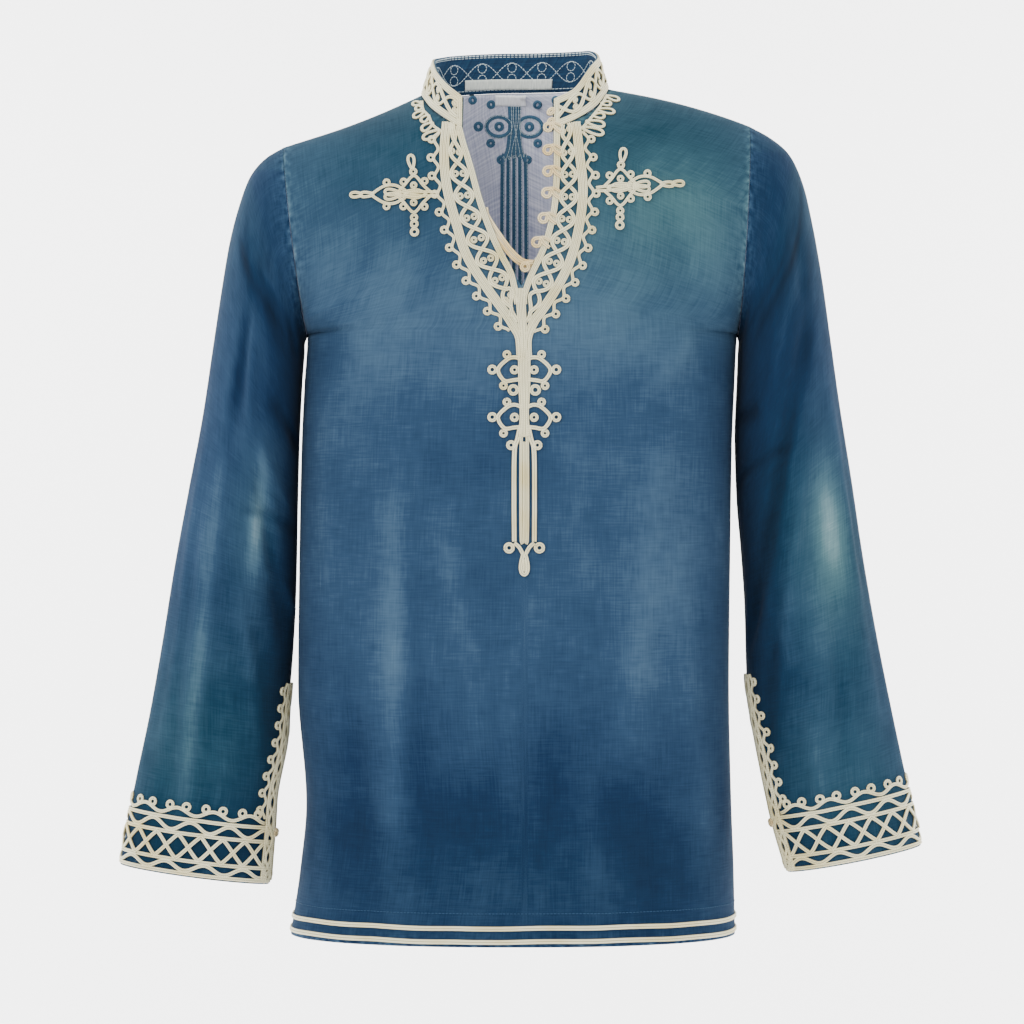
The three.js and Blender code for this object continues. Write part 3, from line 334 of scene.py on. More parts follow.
# Folds that the cut makes, and the finer creases of washing and wear: x0, z0, x1, z1, rise, width, bow.
FOLDS = {
    Face.FRONT: [
        Fold(-62, -372, -30, -570, 3.0, 24, 5),
        Fold(-8, -480, -5, -600, 2.4, 20),
        Fold(-104, -340, -104, -625, 3.2, 26),
        Fold(-140, -500, -120, -700, -2.6, 24),
        Fold(120, -300, 92, -560, 2.2, 30),
        Fold(55, -560, 70, -700, 2.6, 24),
        Fold(-155, -235, -120, -125, -1.8, 24),
        Fold(160, -235, 126, -115, -1.8, 24),
        Fold(-84, -420, -70, -650, -2.0, 17, -4),
        Fold(28, -470, 22, -640, -1.7, 22, 4),
        Fold(135, -380, 150, -640, 1.8, 24, 5),
        Fold(-163, -260, -158, -420, 1.6, 16, -4),
        Fold(-128, -150, -80, -190, -1.3, 14, 3),
        Fold(132, -160, 88, -215, -1.3, 15, -3),
        Fold(-150, -190, -92, -250, 1.1, 16, -4),
        Fold(152, -195, 100, -262, 1.2, 17, 4),
        Fold(-118, -60, -88, -112, 0.9, 18, 3),
        Fold(122, -52, 96, -108, 0.9, 18, -3),
        Fold(-40, -300, -66, -372, 1.0, 18, 2),
        Fold(48, -300, 60, -420, 1.1, 20, -4),
        Fold(-30, -640, -40, -706, 1.5, 20),
        Fold(104, -600, 112, -706, -1.5, 22),
        Fold(156, -560, 160, -706, 1.6, 18),
        Fold(-165, -560, -158, -690, 1.6, 16),
    ],
    Face.BACK: [
        Fold(-70, -330, -58, -640, 3.2, 26, 4),
        Fold(48, -360, 62, -690, 3.4, 28, -4),
        Fold(-5, -470, 0, -700, -2.6, 24),
        Fold(118, -260, 102, -560, 2.4, 28),
        Fold(-150, -235, -112, -110, -1.8, 26),
        Fold(158, -235, 118, -100, -1.8, 26),
        Fold(-110, -300, -122, -600, -1.9, 20, 4),
        Fold(86, -420, 92, -700, -1.8, 20, 3),
        Fold(20, -260, 30, -430, 1.6, 22, 3),
        Fold(-40, -250, -28, -420, 1.3, 20, -3),
        Fold(-160, -300, -150, -560, 1.7, 18, 4),
        Fold(150, -420, 158, -690, 1.7, 20, -4),
        Fold(-95, -150, -60, -205, 1.0, 18, 3),
        Fold(104, -140, 66, -200, 1.0, 18, -3),
        Fold(-30, -620, -38, -706, 1.4, 20),
        Fold(128, -600, 122, -706, 1.5, 18),
    ],
    Side.LEFT: [
        Fold(62, -120, 128, -215, -5.9, 14),
        Fold(84, -108, 70, -300, -3.9, 13),
        Fold(118, -262, 165, -300, -4.4, 12),
        Fold(108, -330, 150, -455, -4.7, 15),
        Fold(58, -360, 74, -600, 3.6, 14),
        Fold(-70, -130, -130, -250, -4.7, 15),
        Fold(-95, -330, -70, -520, -3.6, 15),
        Fold(100, -150, 150, -226, -2.9, 9),
        Fold(74, -160, 92, -300, 2.5, 11, 3),
        Fold(104, -300, 150, -352, 2.3, 10),
        Fold(96, -352, 168, -372, -2.9, 9, 2),
        Fold(118, -400, 170, -440, 2.3, 10, 2),
        Fold(100, -430, 134, -580, 2.6, 13, 3),
        Fold(36, -300, 46, -560, 2.1, 12, 2),
        Fold(84, -500, 96, -640, -2.3, 12),
        Fold(-60, -200, -84, -420, 2.3, 12, 3),
        Fold(-120, -330, -158, -410, 2.3, 12),
        Fold(-46, -420, -52, -620, 2.3, 13),
        Fold(-110, -480, -120, -640, 2.1, 13),
    ],
    Side.RIGHT: [
        Fold(62, -75, 128, -205, -5.5, 14),
        Fold(55, -120, 62, -175, -3.1, 11),
        Fold(60, -190, 108, -330, -4.9, 15),
        Fold(108, -330, 160, -460, -5.5, 15),
        Fold(128, -270, 165, -276, -3.9, 12),
        Fold(40, -260, 44, -520, 3.6, 14),
        Fold(-70, -110, -130, -240, -4.7, 15),
        Fold(-90, -320, -66, -520, -3.6, 15),
        Fold(98, -110, 146, -200, -2.9, 9),
        Fold(80, -150, 110, -250, 2.3, 11, 3),
        Fold(74, -240, 100, -330, 2.6, 10),
        Fold(96, -300, 166, -330, -2.9, 9, 2),
        Fold(84, -330, 120, -480, 2.6, 12, 3),
        Fold(126, -460, 150, -560, -2.6, 11),
        Fold(66, -420, 80, -600, -2.5, 12, 2),
        Fold(100, -520, 112, -640, 2.3, 12),
        Fold(-56, -180, -80, -400, 2.3, 12, 3),
        Fold(-118, -300, -160, -380, 2.3, 12),
        Fold(-44, -400, -50, -600, 2.3, 13),
    ],
}


class Form:
    """The shirt's form: where its panels, sleeves and collar lie in space."""

    def collar_base(self, at: Array) -> Array:
        """Points of the seam between the panels and the collar."""
        return stack(*(COLLAR.read("i", name, at) for name in ("x", "y", "z")))

    def collar_top(self, at: Array) -> Array:
        """Points of the collar's top edge."""
        return stack(*(COLLAR.read("i", name, at) for name in ("tx", "ty", "tz")))

    def collar_across(self, at: Array) -> Array:
        """The way over the collar's seam, from the panel to the collar.

        Args:
            at: Places along the seam.

        Returns:
            Unit vectors.
        """
        step = 0.02
        before = self.collar_base(np.maximum(0, at - step))
        tangent = unit(self.collar_base(np.minimum(COLLAR_END, at + step)) - before)
        base = self.collar_base(at)
        outward = unit(np.cross(unit(self.collar_top(at) - base), tangent))
        toward = outward[..., 0] * base[..., 0] + outward[..., 1] * (base[..., 1] + 15)
        outward = outward * np.where(toward < 0, -1.0, 1.0)[..., None]
        normal = unit(outward * 0.8 + np.array([0, 0, 0.6]))
        across = unit(np.cross(normal, tangent))
        return across * np.where(across[..., 2] < 0, -1.0, 1.0)[..., None]

    def ridge(self, x: Array) -> Array:
        """Height of the line where front and back meet over the shoulder.

        Args:
            x: Places across.

        Returns:
            The heights.
        """
        values = np.zeros(np.shape(x))
        for side in Side:
            at = NECK_LEFT if side is Side.LEFT else NECK_RIGHT
            neck_x = COLLAR.columns["x"][at]
            neck_z = COLLAR.columns["z"][at]
            tip = ARMHOLES[side]
            t = (x - neck_x) / (tip.top_x - neck_x)
            over = mix(neck_z, tip.top_z, t) + SHOULDER_RISE[side.value] * np.sin(math.pi * np.clip(t, 0, 1))
            yoke = neck_z + NECK_RISE * np.cos(math.pi / 2 * np.clip(x / neck_x, -1, 1)) ** 2
            here = (x < 0) if side is Side.LEFT else (x >= 0)
            values = np.where(here, np.where(t >= 0, over, yoke), values)
        return values

    def sheet_y(self, x: Array, z: Array, face: Face) -> Array:
        """Y of the body's front or back at places in the front view.

        Args:
            x: Places across.
            z: Places up.
            face: Front or back.

        Returns:
            The values of Y, without folds.
        """
        width = np.where(x < 0, BODY.read("z", "left", z), BODY.read("z", "right", z))
        depth = BODY.read("z", face.word, z)
        across = (1 - np.clip(np.abs(x) / width, 0, 1) ** BODY_POWER) ** (1 / BODY_POWER)
        up = np.clip((z - DOME_FROM) / (self.ridge(x) - DOME_FROM), 0, 1)
        return face.value * depth * across * (1 - up**DOME_POWER) ** (1 / DOME_POWER)

    def armhole(self, side: Side, turn: float, face: Face, shift: float) -> Array:
        """A point of the armhole's seam.

        Args:
            side: The side of the shirt.
            turn: 0 at the underarm, pi at the shoulder.
            face: Front or back.
            shift: How far it moves from the body to the sleeve.

        Returns:
            The point.
        """
        hole = ARMHOLES[side]
        up = (1 - math.cos(turn)) / 2
        y = face.value * hole.depth * math.sin(turn)
        point = np.array([mix(hole.low_x, hole.top_x, up), y, mix(hole.low_z, hole.top_z, up)])
        return point + self.armhole_across(side) * shift

    def armhole_across(self, side: Side) -> Array:
        """The way from the body to the sleeve, square to the armhole's plane."""
        hole = ARMHOLES[side]
        return unit(np.array([hole.top_z - hole.low_z, 0, hole.low_x - hole.top_x])) * side.value

    def inner_edge(self, face: Face, side: Side, h: float) -> tuple[Array, float, bool]:
        """The inner edge of half a panel above the underarm.

        Args:
            face: Front or back.
            side: The half.
            h: 0 at the underarm's height, SLIT_STEPS at the collar, UPPER_STEPS at the shoulder.

        Returns:
            The point, how far it leans to the collar's seam, and whether it is on that seam.
        """
        low = ARMHOLES[Side.LEFT].low_z
        if h >= SLIT_STEPS:
            first = {Side.LEFT: 0, Side.RIGHT: COLLAR_END}[side] if face is Face.FRONT else NECK_BACK
            end = NECK_LEFT if side is Side.LEFT else NECK_RIGHT
            at = mix(first, end, (h - SLIT_STEPS) / (UPPER_STEPS - SLIT_STEPS))
            point = self.collar_base(at) - self.collar_across(at) * SEAM_GAP / 2
            if h >= UPPER_STEPS - 1e-6:
                point[1] = face.value * SEAM_GAP / 2
            return point, 1.0, True
        if face is Face.FRONT:
            if h <= 1:
                return np.array([SLIT.columns["left"][0], 0, mix(low, SLIT.columns["z"][0], h)]), 0.0, False
            t = (h - 1) / (SLIT_STEPS - 1)
            z = mix(SLIT.columns["z"][0], SLIT.columns["z"][-1], t)
            return np.array([SLIT.read("z", side.word, z), 0, z]), float(smooth(t)), False
        t = h / SLIT_STEPS
        x, z = COLLAR.columns["x"][NECK_BACK], COLLAR.columns["z"][NECK_BACK]
        return np.array([mix(0, x, t * t), 0, mix(low, z, t)]), t**3, False

    def panel_row(self, face: Face, side: Side, level: float, spans: Array) -> Array:
        """One row of a panel, from its middle out to its side seam or armhole.

        Args:
            face: Front or back.
            side: The half.
            level: Below 0 it runs from the hem at -1 to the underarm, above 0 in the steps of inner_edge.
            spans: Places from 0 to 1 along the row.

        Returns:
            The points.
        """
        half = SEAM_GAP / 2
        hole = ARMHOLES[side]
        seat, _, _ = self.inner_edge(face, side, SLIT_STEPS)
        seat_shift = seat[1] - self.sheet_y(seat[0], seat[2], face)
        middle = SLIT.columns["left"][0] if face is Face.FRONT else 0.0
        if level <= 0:
            z = mix(HEM_Z, hole.low_z, level + 1)
            inner, lean, on_seam = np.array([middle, 0, z]), 0.0, False
            outer = np.array([side.value * BODY.read("z", side.word, z), face.value * half, z])
            high = 0.0
        else:
            inner, lean, on_seam = self.inner_edge(face, side, level)
            high = level / UPPER_STEPS
            outer = self.armhole(side, math.pi * high, face, -half)
            if high >= 1:
                outer[1] = face.value * half
        inner_base = float(self.sheet_y(inner[0], inner[2], face))
        inner_y = inner[1] if on_seam else inner_base + lean * seat_shift
        outer_shift = outer[1] - float(self.sheet_y(outer[0], outer[2], face))
        s = mix(spans, np.sin(spans * math.pi / 2), 0.85)
        x = mix(inner[0], outer[0], s)
        z = mix(inner[2], outer[2], s) + SHOULDER_RISE[side.value] * np.sin(math.pi * s) * high**4
        y = self.sheet_y(x, z, face) + outer_shift * s**6 + (inner_y - inner_base) * (1 - s) ** 2
        y = y + face.value * folded(FOLDS[face], x, z) * (1 - s**8) * (1 - high**4)
        y = np.where(spans >= 1, outer[1], y)
        if high >= 1:
            y = np.full_like(y, face.value * half)
        return stack(x, y, z)

    def sleeve(self, side: Side, at: Array, turn: Array) -> Array:
        """Points of a sleeve.

        Args:
            side: The side of the shirt.
            at: Places along the sleeve, 0 at the armhole.
            turn: Degrees, -180 at the inner edge, over the back, 0 at the outer edge, 180 again.

        Returns:
            The points, with the folds.
        """
        table = SLEEVES[side]
        outer = stack(table.read("i", "out_x", at), 0.0, table.read("i", "out_z", at))
        inner = self.sleeve_inner(side, at)
        depth = table.read("i", "depth", at)
        angle = np.radians(turn)
        middle = (outer + inner) / 2
        reach = outer - middle
        height = mix(outer[..., 2], inner[..., 2], (1 - np.cos(angle)) / 2)
        rise = folded(FOLDS[side], turn, height, 0.9)
        size = np.linalg.norm(reach, axis=-1)
        scale = 1 + rise * smooth(at / 1.5) / np.maximum(40, size)
        points = middle + reach * (np.cos(angle) * scale)[..., None]
        points[..., 1] -= depth * np.sin(angle) * scale
        return points

    def slit_start(self, side: Side) -> float:
        """The place along the sleeve where the cuff's slit starts.

        Args:
            side: The side of the shirt.

        Returns:
            The place, counted in sections.
        """
        at = LAST_SECTION
        length = 0.0
        before = self.sleeve_inner(side, at)
        while length < CUFF_SLIT:
            at -= 0.05
            here = self.sleeve_inner(side, at)
            length += float(np.linalg.norm(here - before))
            before = here
        return at

    def sleeve_inner(self, side: Side, at: Array | float) -> Array:
        """Points of a sleeve's inner line, without folds.

        Args:
            side: The side of the shirt.
            at: Places along the sleeve.

        Returns:
            The points.
        """
        table = SLEEVES[side]
        z = table.read("i", "in_z", at)
        return stack(side.value * (BODY.read("z", side.word, z) + table.read("i", "off", at)), 0.0, z)

    def slit_turn(self, side: Side, at: Array) -> Array:
        """Half the opening of the cuff's slit, in degrees.

        Args:
            side: The side of the shirt.
            at: Places along the sleeve.

        Returns:
            The turn from the sleeve's inner line to the slit's edge.
        """
        start = self.slit_start(side)
        opening = CUFF_OPEN * smooth((at - start) / 2.2 + 0.1)
        depth = SLEEVES[side].read("i", "depth", at)
        return np.where(at <= start, 0.0, np.degrees(opening / depth))


# ---- meshes
def linked(name: str, data: bpy.types.ID) -> Piece:
    """A new object of the scene."""
    thing = bpy.data.objects.new(name, data)
    bpy.context.scene.collection.objects.link(thing)
    return thing


def new_object(name: str, points: Array, faces: Sequence[Sequence[int]], finish: list[Material]) -> Piece:
    """A mesh object from points in millimetres.

    Args:
        name: Its name.
        points: Its points.
        faces: Its faces, as point numbers.
        finish: Its materials.

    Returns:
        The object, shaded smooth.
    """
    mesh = bpy.data.meshes.new(name)
    mesh.from_pydata((np.asarray(points) * MM).tolist(), [], [list(map(int, face)) for face in faces])
    mesh.update()
    mesh.shade_smooth()
    for material in finish:
        mesh.materials.append(material)
    return linked(name, mesh)


def lay_uv(mesh: bpy.types.Mesh, flat: Array) -> None:
    """Gives a mesh its coordinates in the cut.

    Args:
        mesh: The mesh.
        flat: A flat place for each of its points, in millimetres.
    """
    layer = mesh.uv_layers.new(name="cut")
    corner = np.zeros(len(mesh.loops), np.int32)
    mesh.loops.foreach_get("vertex_index", corner)
    layer.data.foreach_set("uv", (flat[corner] * MM).astype(np.float32).reshape(-1))


def apply_modifier(piece: Piece, kind: str, **settings: object) -> None:
    """Adds a modifier and applies it.

    Args:
        piece: What it changes.
        kind: Its type.
        settings: Its own properties.
    """
    bpy.ops.object.select_all(action="DESELECT")
    bpy.context.view_layer.objects.active = piece
    piece.select_set(True)
    modifier = piece.modifiers.new(kind.title(), kind)
    for name, value in settings.items():
        setattr(modifier, name, value)
    bpy.ops.object.modifier_apply(modifier=modifier.name)
    piece.select_set(False)


def dress(piece: Piece, slot: str, *nodes: str) -> Piece:
    """Fixes a piece to the frame.

    Args:
        piece: The piece.
        slot: Not used.
        nodes: The nodes that it stands for.

    Returns:
        The same piece.
    """
    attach(piece, "root")
    if nodes:
        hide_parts(*nodes)
    LOG.info("%s: %d faces", piece.name, len(piece.data.polygons))
    return piece


@dataclass
class Cloth:
    """A sheet of cloth given by grids of points, welded where they meet.

    Args:
        name: The piece's name.
        grids: Grids of points, each rows x columns x 3.
        flats: The same grids laid flat, in millimetres, for the weave.
        thickness: The shell's thickness, inwards.
        flip: Whether a grid's faces are turned round to face out.
    """

    name: str
    grids: list[Array]
    flats: list[Array]
    thickness: float
    flip: bool
    points: Array = field(init=False)
    quads: list[list[int]] = field(init=False)
    flat: Array = field(init=False)

    def __post_init__(self) -> None:
        """Welds the grids into one list of points and faces."""
        every = np.concatenate([grid.reshape(-1, 3) for grid in self.grids])
        flats = np.concatenate([flat.reshape(-1, 2) for flat in self.flats])
        _, first, number = np.unique(np.round(every, 2), axis=0, return_index=True, return_inverse=True)
        number = number.reshape(-1)
        self.points = every[first]
        self.flat = flats[first]
        self.quads = []
        start = 0
        for grid in self.grids:
            rows, columns = grid.shape[:2]
            ids = number[start : start + rows * columns].reshape(rows, columns)
            start += rows * columns
            corners = [ids[:-1, :-1], ids[:-1, 1:], ids[1:, 1:], ids[1:, :-1]]
            for quad in np.stack(corners, axis=-1).reshape(-1, 4).tolist():
                kept = list(dict.fromkeys(quad))
                if len(kept) > 2:
                    self.quads.append(kept[::-1] if self.flip else kept)

    def build(self, outside: Material, inside: Material, marks: dict[str, Array]) -> Piece:
        """Makes the shell.

        Args:
            outside: The cloth's right side.
            inside: The cloth's wrong side.
            marks: Values from 0 to 1 at the points, kept as attributes for the finish.

        Returns:
            The piece.
        """
        piece = new_object(self.name, self.points, self.quads, [outside, inside])
        mesh = piece.data
        for name, values in marks.items():
            mark = mesh.attributes.new(name, "FLOAT", "POINT")
            mark.data.foreach_set("value", np.asarray(values, np.float32))
        lay_uv(mesh, self.flat)
        wall = {"thickness": self.thickness * MM, "offset": -1.0, "material_offset": 1}
        apply_modifier(piece, "SOLIDIFY", use_even_offset=False, **wall)
        return piece

    def tree(self) -> BVHTree:
        """The outer side, for laying things on it."""
        return BVHTree.FromPolygons([Vector(p) for p in self.points], self.quads)


# ---- grounds for laid work
class Ground:
    """Maps a flat pattern plane onto cloth."""

    reach = 1.2

    def place(self, flat: Array) -> Array:
        """Points of the cloth's outer side under flat points."""
        raise NotImplementedError

    def frame(self, flat: Array, lift: Array | float) -> tuple[Array, Array]:
        """Points above flat points, and the way out there.

        Args:
            flat: Flat points.
            lift: Height above the cloth's outer side.

        Returns:
            The points and the unit normals.
        """
        here = self.place(flat)
        along = self.place(flat + [self.reach, 0]) - self.place(flat - [self.reach, 0])
        up = self.place(flat + [0, self.reach]) - self.place(flat - [0, self.reach])
        normal = unit(np.cross(along, up)) * self.way
        return here + normal * np.broadcast_to(np.asarray(lift, float), len(flat))[:, None], normal


class PanelGround(Ground):
    """The front or back as it is seen from the front: flat points are X and Z."""

    def __init__(self, cloth: Cloth, face: Face) -> None:
        """Keeps a ray tree of the panel."""
        self.tree = cloth.tree()
        self.face = face
        self.way = 1.0 if face is Face.FRONT else -1.0

    def place(self, flat: Array) -> Array:
        """Points of the panel at X and Z, or on the plane of its nearest facet past an edge.

        Args:
            flat: X and Z.

        Returns:
            The points.
        """
        out = np.zeros((len(flat), 3))
        way = Vector((0, -self.face.value, 0))
        for n, (x, z) in enumerate(flat):
            spot, _, _, _ = self.tree.ray_cast(Vector((x, self.face.value * 400, z)), way)
            if spot is None:
                y = self.face.value * 85
                for _ in range(3):
                    near, normal, _, _ = self.tree.find_nearest(Vector((x, y, z)))
                    lean = max(abs(normal.y), 0.35) * (1 if normal.y > 0 else -1)
                    y = near.y - ((x - near.x) * normal.x + (z - near.z) * normal.z) / lean
                spot = Vector((x, y, z))
            out[n] = spot
        return out


class CollarGround(Ground):
    """The collar: flat points are the length along it and the height up it."""

    way = -1.0

    def __init__(self, form: Form) -> None:
        """Measures the collar half-way up."""
        self.form = form
        self.at = np.linspace(0, COLLAR_END, 241)
        middle = (form.collar_base(self.at) + form.collar_top(self.at)) / 2
        self.along = travelled(middle)
        self.length = float(self.along[-1])

    def place(self, flat: Array) -> Array:
        """Points of the collar, carried on straight past its ends.

        Args:
            flat: Length along the collar and height up it.

        Returns:
            The points.
        """
        u = np.clip(flat[:, 0], 0, self.length)
        at = np.interp(u, self.along, self.at)
        base = self.form.collar_base(at) + self.form.collar_across(at) * SEAM_GAP / 2
        point = mix(base, self.form.collar_top(at), (flat[:, 1] / COLLAR_HEIGHT)[:, None])
        ends = self.form.collar_base(np.array([0, 0.1, COLLAR_END - 0.1, COLLAR_END]))
        before = unit(ends[0] - ends[1])
        after = unit(ends[3] - ends[2])
        short = np.maximum(0, -flat[:, 0])[:, None]
        long = np.maximum(0, flat[:, 0] - self.length)[:, None]
        return point + (short * before + long * after)


class CuffGround(Ground):
    """A cuff: flat points are the distance round from the outer edge and the height above the hem."""

    columns = 121
    steps = 90
    sections = 4.9

    def __init__(self, form: Form, side: Side) -> None:
        """Measures the cuff along its columns, then along its rows.

        Args:
            form: The shirt's form.
            side: The side of the shirt.
        """
        self.way = -float(side.value)
        turns = np.linspace(-1, 1, self.columns)
        at = np.linspace(LAST_SECTION, LAST_SECTION - self.sections, 70)
        closing = form.slit_turn(side, at)
        grid = form.sleeve(side, at[:, None] + 0 * turns, turns[None, :] * (180 - closing[:, None]))
        up = travelled(grid)
        self.heights = np.linspace(0, float(up[-1].min()), self.steps)
        self.rows = np.zeros((self.steps, self.columns, 3))
        for column in range(self.columns):
            for axis in range(3):
                self.rows[:, column, axis] = np.interp(self.heights, up[:, column], grid[:, column, axis])
        around = travelled(self.rows, 1)
        middle = self.columns // 2
        self.around = around - around[:, middle : middle + 1]

    def edge(self, v: Array | float) -> Array:
        """Distance round from the outer edge to the slit's edge, on the front."""
        return np.interp(v, self.heights, self.around[:, -1])

    def row(self, n: int, u: float) -> Array:
        """A point of one measured row, carried on straight past its ends.

        Args:
            n: The row's number.
            u: The distance round from the outer edge.

        Returns:
            The point.
        """
        around = self.around[n]
        point = np.array([np.interp(u, around, self.rows[n, :, axis]) for axis in range(3)])
        if u > around[-1]:
            point = point + unit(self.rows[n, -1] - self.rows[n, -3]) * (u - around[-1])
        if u < around[0]:
            point = point + unit(self.rows[n, 0] - self.rows[n, 2]) * (around[0] - u)
        return point

    def place(self, flat: Array) -> Array:
        """Points of the cuff between its measured rows.

        Args:
            flat: Distance round and height above the hem.

        Returns:
            The points.
        """
        out = np.zeros((len(flat), 3))
        place = np.clip(flat[:, 1] / self.heights[-1], -0.02, 1) * (len(self.heights) - 1)
        low = np.clip(np.floor(place).astype(int), 0, len(self.heights) - 2)
        for n, (u, _) in enumerate(flat):
            out[n] = mix(self.row(low[n], u), self.row(low[n] + 1, u), place[n] - low[n])
        return out


# ---- finishes
def linear(code: str) -> tuple[float, float, float, float]:
    """An sRGB hex colour as linear light."""
    parts = [int(code[i : i + 2], 16) / 255 for i in (0, 2, 4)]
    return (*(c / 12.92 if c <= 0.04045 else ((c + 0.055) / 1.055) ** 2.4 for c in parts), 1.0)


def add(tree: Tree, kind: str, links: dict | None = None, **settings: object) -> Node:
    """Adds a node with its settings and links.

    Args:
        tree: The material's nodes.
        kind: The node's type, without ShaderNode.
        links: Its inputs by name or number: a socket to link, or a value.
        settings: Its own properties.

    Returns:
        The node.
    """
    node = tree.nodes.new("ShaderNode" + kind)
    for name, value in settings.items():
        setattr(node, name, value)
    for name, value in (links or {}).items():
        if isinstance(value, Socket):
            tree.links.new(value, node.inputs[name])
        else:
            node.inputs[name].default_value = value
    return node


def maths(tree: Tree, operation: str, *values: Socket | float, **settings: object) -> Socket:
    """The result of one operation on values."""
    return add(tree, "Math", dict(enumerate(values)), operation=operation, **settings).outputs[0]


def noise(tree: Tree, place: Socket, scale: float, detail: float, roughness: float = 0.5) -> Socket:
    """Soft noise at a place."""
    links = {"Vector": place, "Scale": scale, "Detail": detail, "Roughness": roughness}
    return add(tree, "TexNoise", links).outputs[0]


def slubs(tree: Tree, cut: Socket, lines: float, warp_draw: float, weft_draw: float) -> Socket:
    """Threads both ways that run thick and thin.

    Args:
        tree: The material's nodes.
        cut: The place in the cut, in metres.
        lines: Threads in a metre.
        warp_draw: How slowly a warp thread changes along its length; 1 is as fast as across it.
        weft_draw: The same of a weft thread.

    Returns:
        The sum of both.
    """
    warp = add(tree, "Mapping", {0: cut, "Scale": (1.0, warp_draw, 1.0)}).outputs[0]
    weft = add(tree, "Mapping", {0: cut, "Scale": (weft_draw, 1.0, 1.0)}).outputs[0]
    return maths(tree, "ADD", noise(tree, warp, lines, 2.0), noise(tree, weft, lines, 2.0))


def cover(tree: Tree, surface: Node, colour: Socket, height: Socket, strength: float, depth: float) -> None:
    """Links a colour and a relief to a surface.

    Args:
        tree: The material's nodes.
        surface: Its surface shader.
        colour: The colour.
        height: The relief, from 0 to 1.
        strength: How strongly the relief shows.
        depth: The relief's depth, in metres.
    """
    bump = add(tree, "Bump", {"Strength": strength, "Distance": depth, "Height": height}).outputs[0]
    tree.links.new(colour, surface.inputs["Base Color"])
    tree.links.new(bump, surface.inputs["Normal"])


def new_material(name: str) -> tuple[Material, Tree, Node]:
    """An empty material with its surface shader."""
    material = bpy.data.materials.new(name)
    material.use_nodes = True
    return material, material.node_tree, material.node_tree.nodes["Principled BSDF"]


def ramp(tree: Tree, value: Socket, stops: Stops) -> Socket:
    """A colour that runs through sRGB stops with a value.

    Args:
        tree: The material's nodes.
        value: What it runs with.
        stops: Places from 0 to 1 and their colours.

    Returns:
        The colour.
    """
    node = add(tree, "ValToRGB", {0: value})
    bar = node.color_ramp
    while len(bar.elements) < len(stops):
        bar.elements.new(0.5)
    for element, (place, code) in zip(bar.elements, stops):
        element.position = place
        element.color = linear(code)
    return node.outputs[0]


@dataclass(frozen=True)
class WashedCloth:
    """Garment-washed plain weave of cotton and linen, dyed indigo over and faded to teal.

    To the eye: matt, slubby both ways, mottled, paler where the wash rubbed it. Its fade attribute also
    carries painted shade, darker in the feet of creases, under the arms and along the sleeves' inner sides,
    and painted highlight along some fold ridges.
    """

    name: str = "washed_cotton_linen_indigo"
    stops: Stops = (
        (0.0, "081120"),
        (0.3, "0e213b"),
        (0.5, "233750"),
        (0.68, "3b5066"),
        (0.84, "546779"),
        (1.0, "788890"),
    )
    teal: Stops = (
        (0.0, "09171d"),
        (0.3, "102d39"),
        (0.5, "26424d"),
        (0.68, "3d5b60"),
        (0.84, "597679"),
        (1.0, "82979a"),
    )
    thread_mm: float = 1.3       # real threads are 0.5 mm; drawn coarser so that they show

    def make(self) -> Material:
        """Builds the material."""
        material, tree, surface = new_material(self.name)
        cut = add(tree, "UVMap", uv_map="cut").outputs[0]
        # the fade attribute: wash fade with painted shade and painted highlight, from the panels' marks
        fade = add(tree, "Attribute", attribute_name="fade").outputs["Fac"]
        teal = add(tree, "Attribute", attribute_name="teal").outputs["Fac"]
        edge = add(tree, "Attribute", attribute_name="edge").outputs["Fac"]
        threads = slubs(tree, cut, 1 / (self.thread_mm * MM), 0.045, 0.06)
        cloud = noise(tree, cut, 14.0, 4.0, 0.55)
        mottle = noise(tree, cut, 90.0, 3.0)
        pucker = noise(tree, cut, 170.0, 1.0)
        weave = maths(tree, "MULTIPLY_ADD", threads, 0.17, -0.17)
        patch = maths(tree, "MULTIPLY_ADD", cloud, 0.26, -0.13)
        speck = maths(tree, "MULTIPLY_ADD", mottle, 0.10, -0.05)
        rubbed = maths(tree, "MULTIPLY_ADD", pucker, 1.1, -0.42)
        worn = maths(tree, "MULTIPLY", rubbed, edge)
        total = fade
        for part in (weave, patch, speck, worn):
            total = maths(tree, "ADD", total, part)
        colours = {0: teal, 6: ramp(tree, total, self.stops), 7: ramp(tree, total, self.teal)}
        toned = add(tree, "Mix", colours, data_type="RGBA").outputs[2]
        cover(tree, surface, toned, maths(tree, "ADD", threads, mottle), 0.32, 0.0005)
        surface.inputs["Roughness"].default_value = 0.95
        surface.inputs["Specular IOR Level"].default_value = 0.06
        surface.inputs["Sheen Weight"].default_value = 0.02
        surface.inputs["Sheen Roughness"].default_value = 0.5
        return material


@dataclass(frozen=True)
class WrongSide:
    """The wrong side of the same cloth, never rubbed: a pale undyed warp over a coloured weft."""

    name: str
    dark: str
    light: str

    def make(self) -> Material:
        """Builds the material."""
        material, tree, surface = new_material(self.name)
        cut = add(tree, "UVMap", uv_map="cut").outputs[0]
        threads = slubs(tree, cut, 620.0, 0.03, 0.05)
        spread = maths(tree, "MULTIPLY_ADD", threads, 1.5, -1.0)
        colour = ramp(tree, spread, ((0.0, self.dark), (1.0, self.light)))
        cover(tree, surface, colour, threads, 0.3, 0.0005)
        surface.inputs["Roughness"].default_value = 0.92
        surface.inputs["Specular IOR Level"].default_value = 0.2
        return material


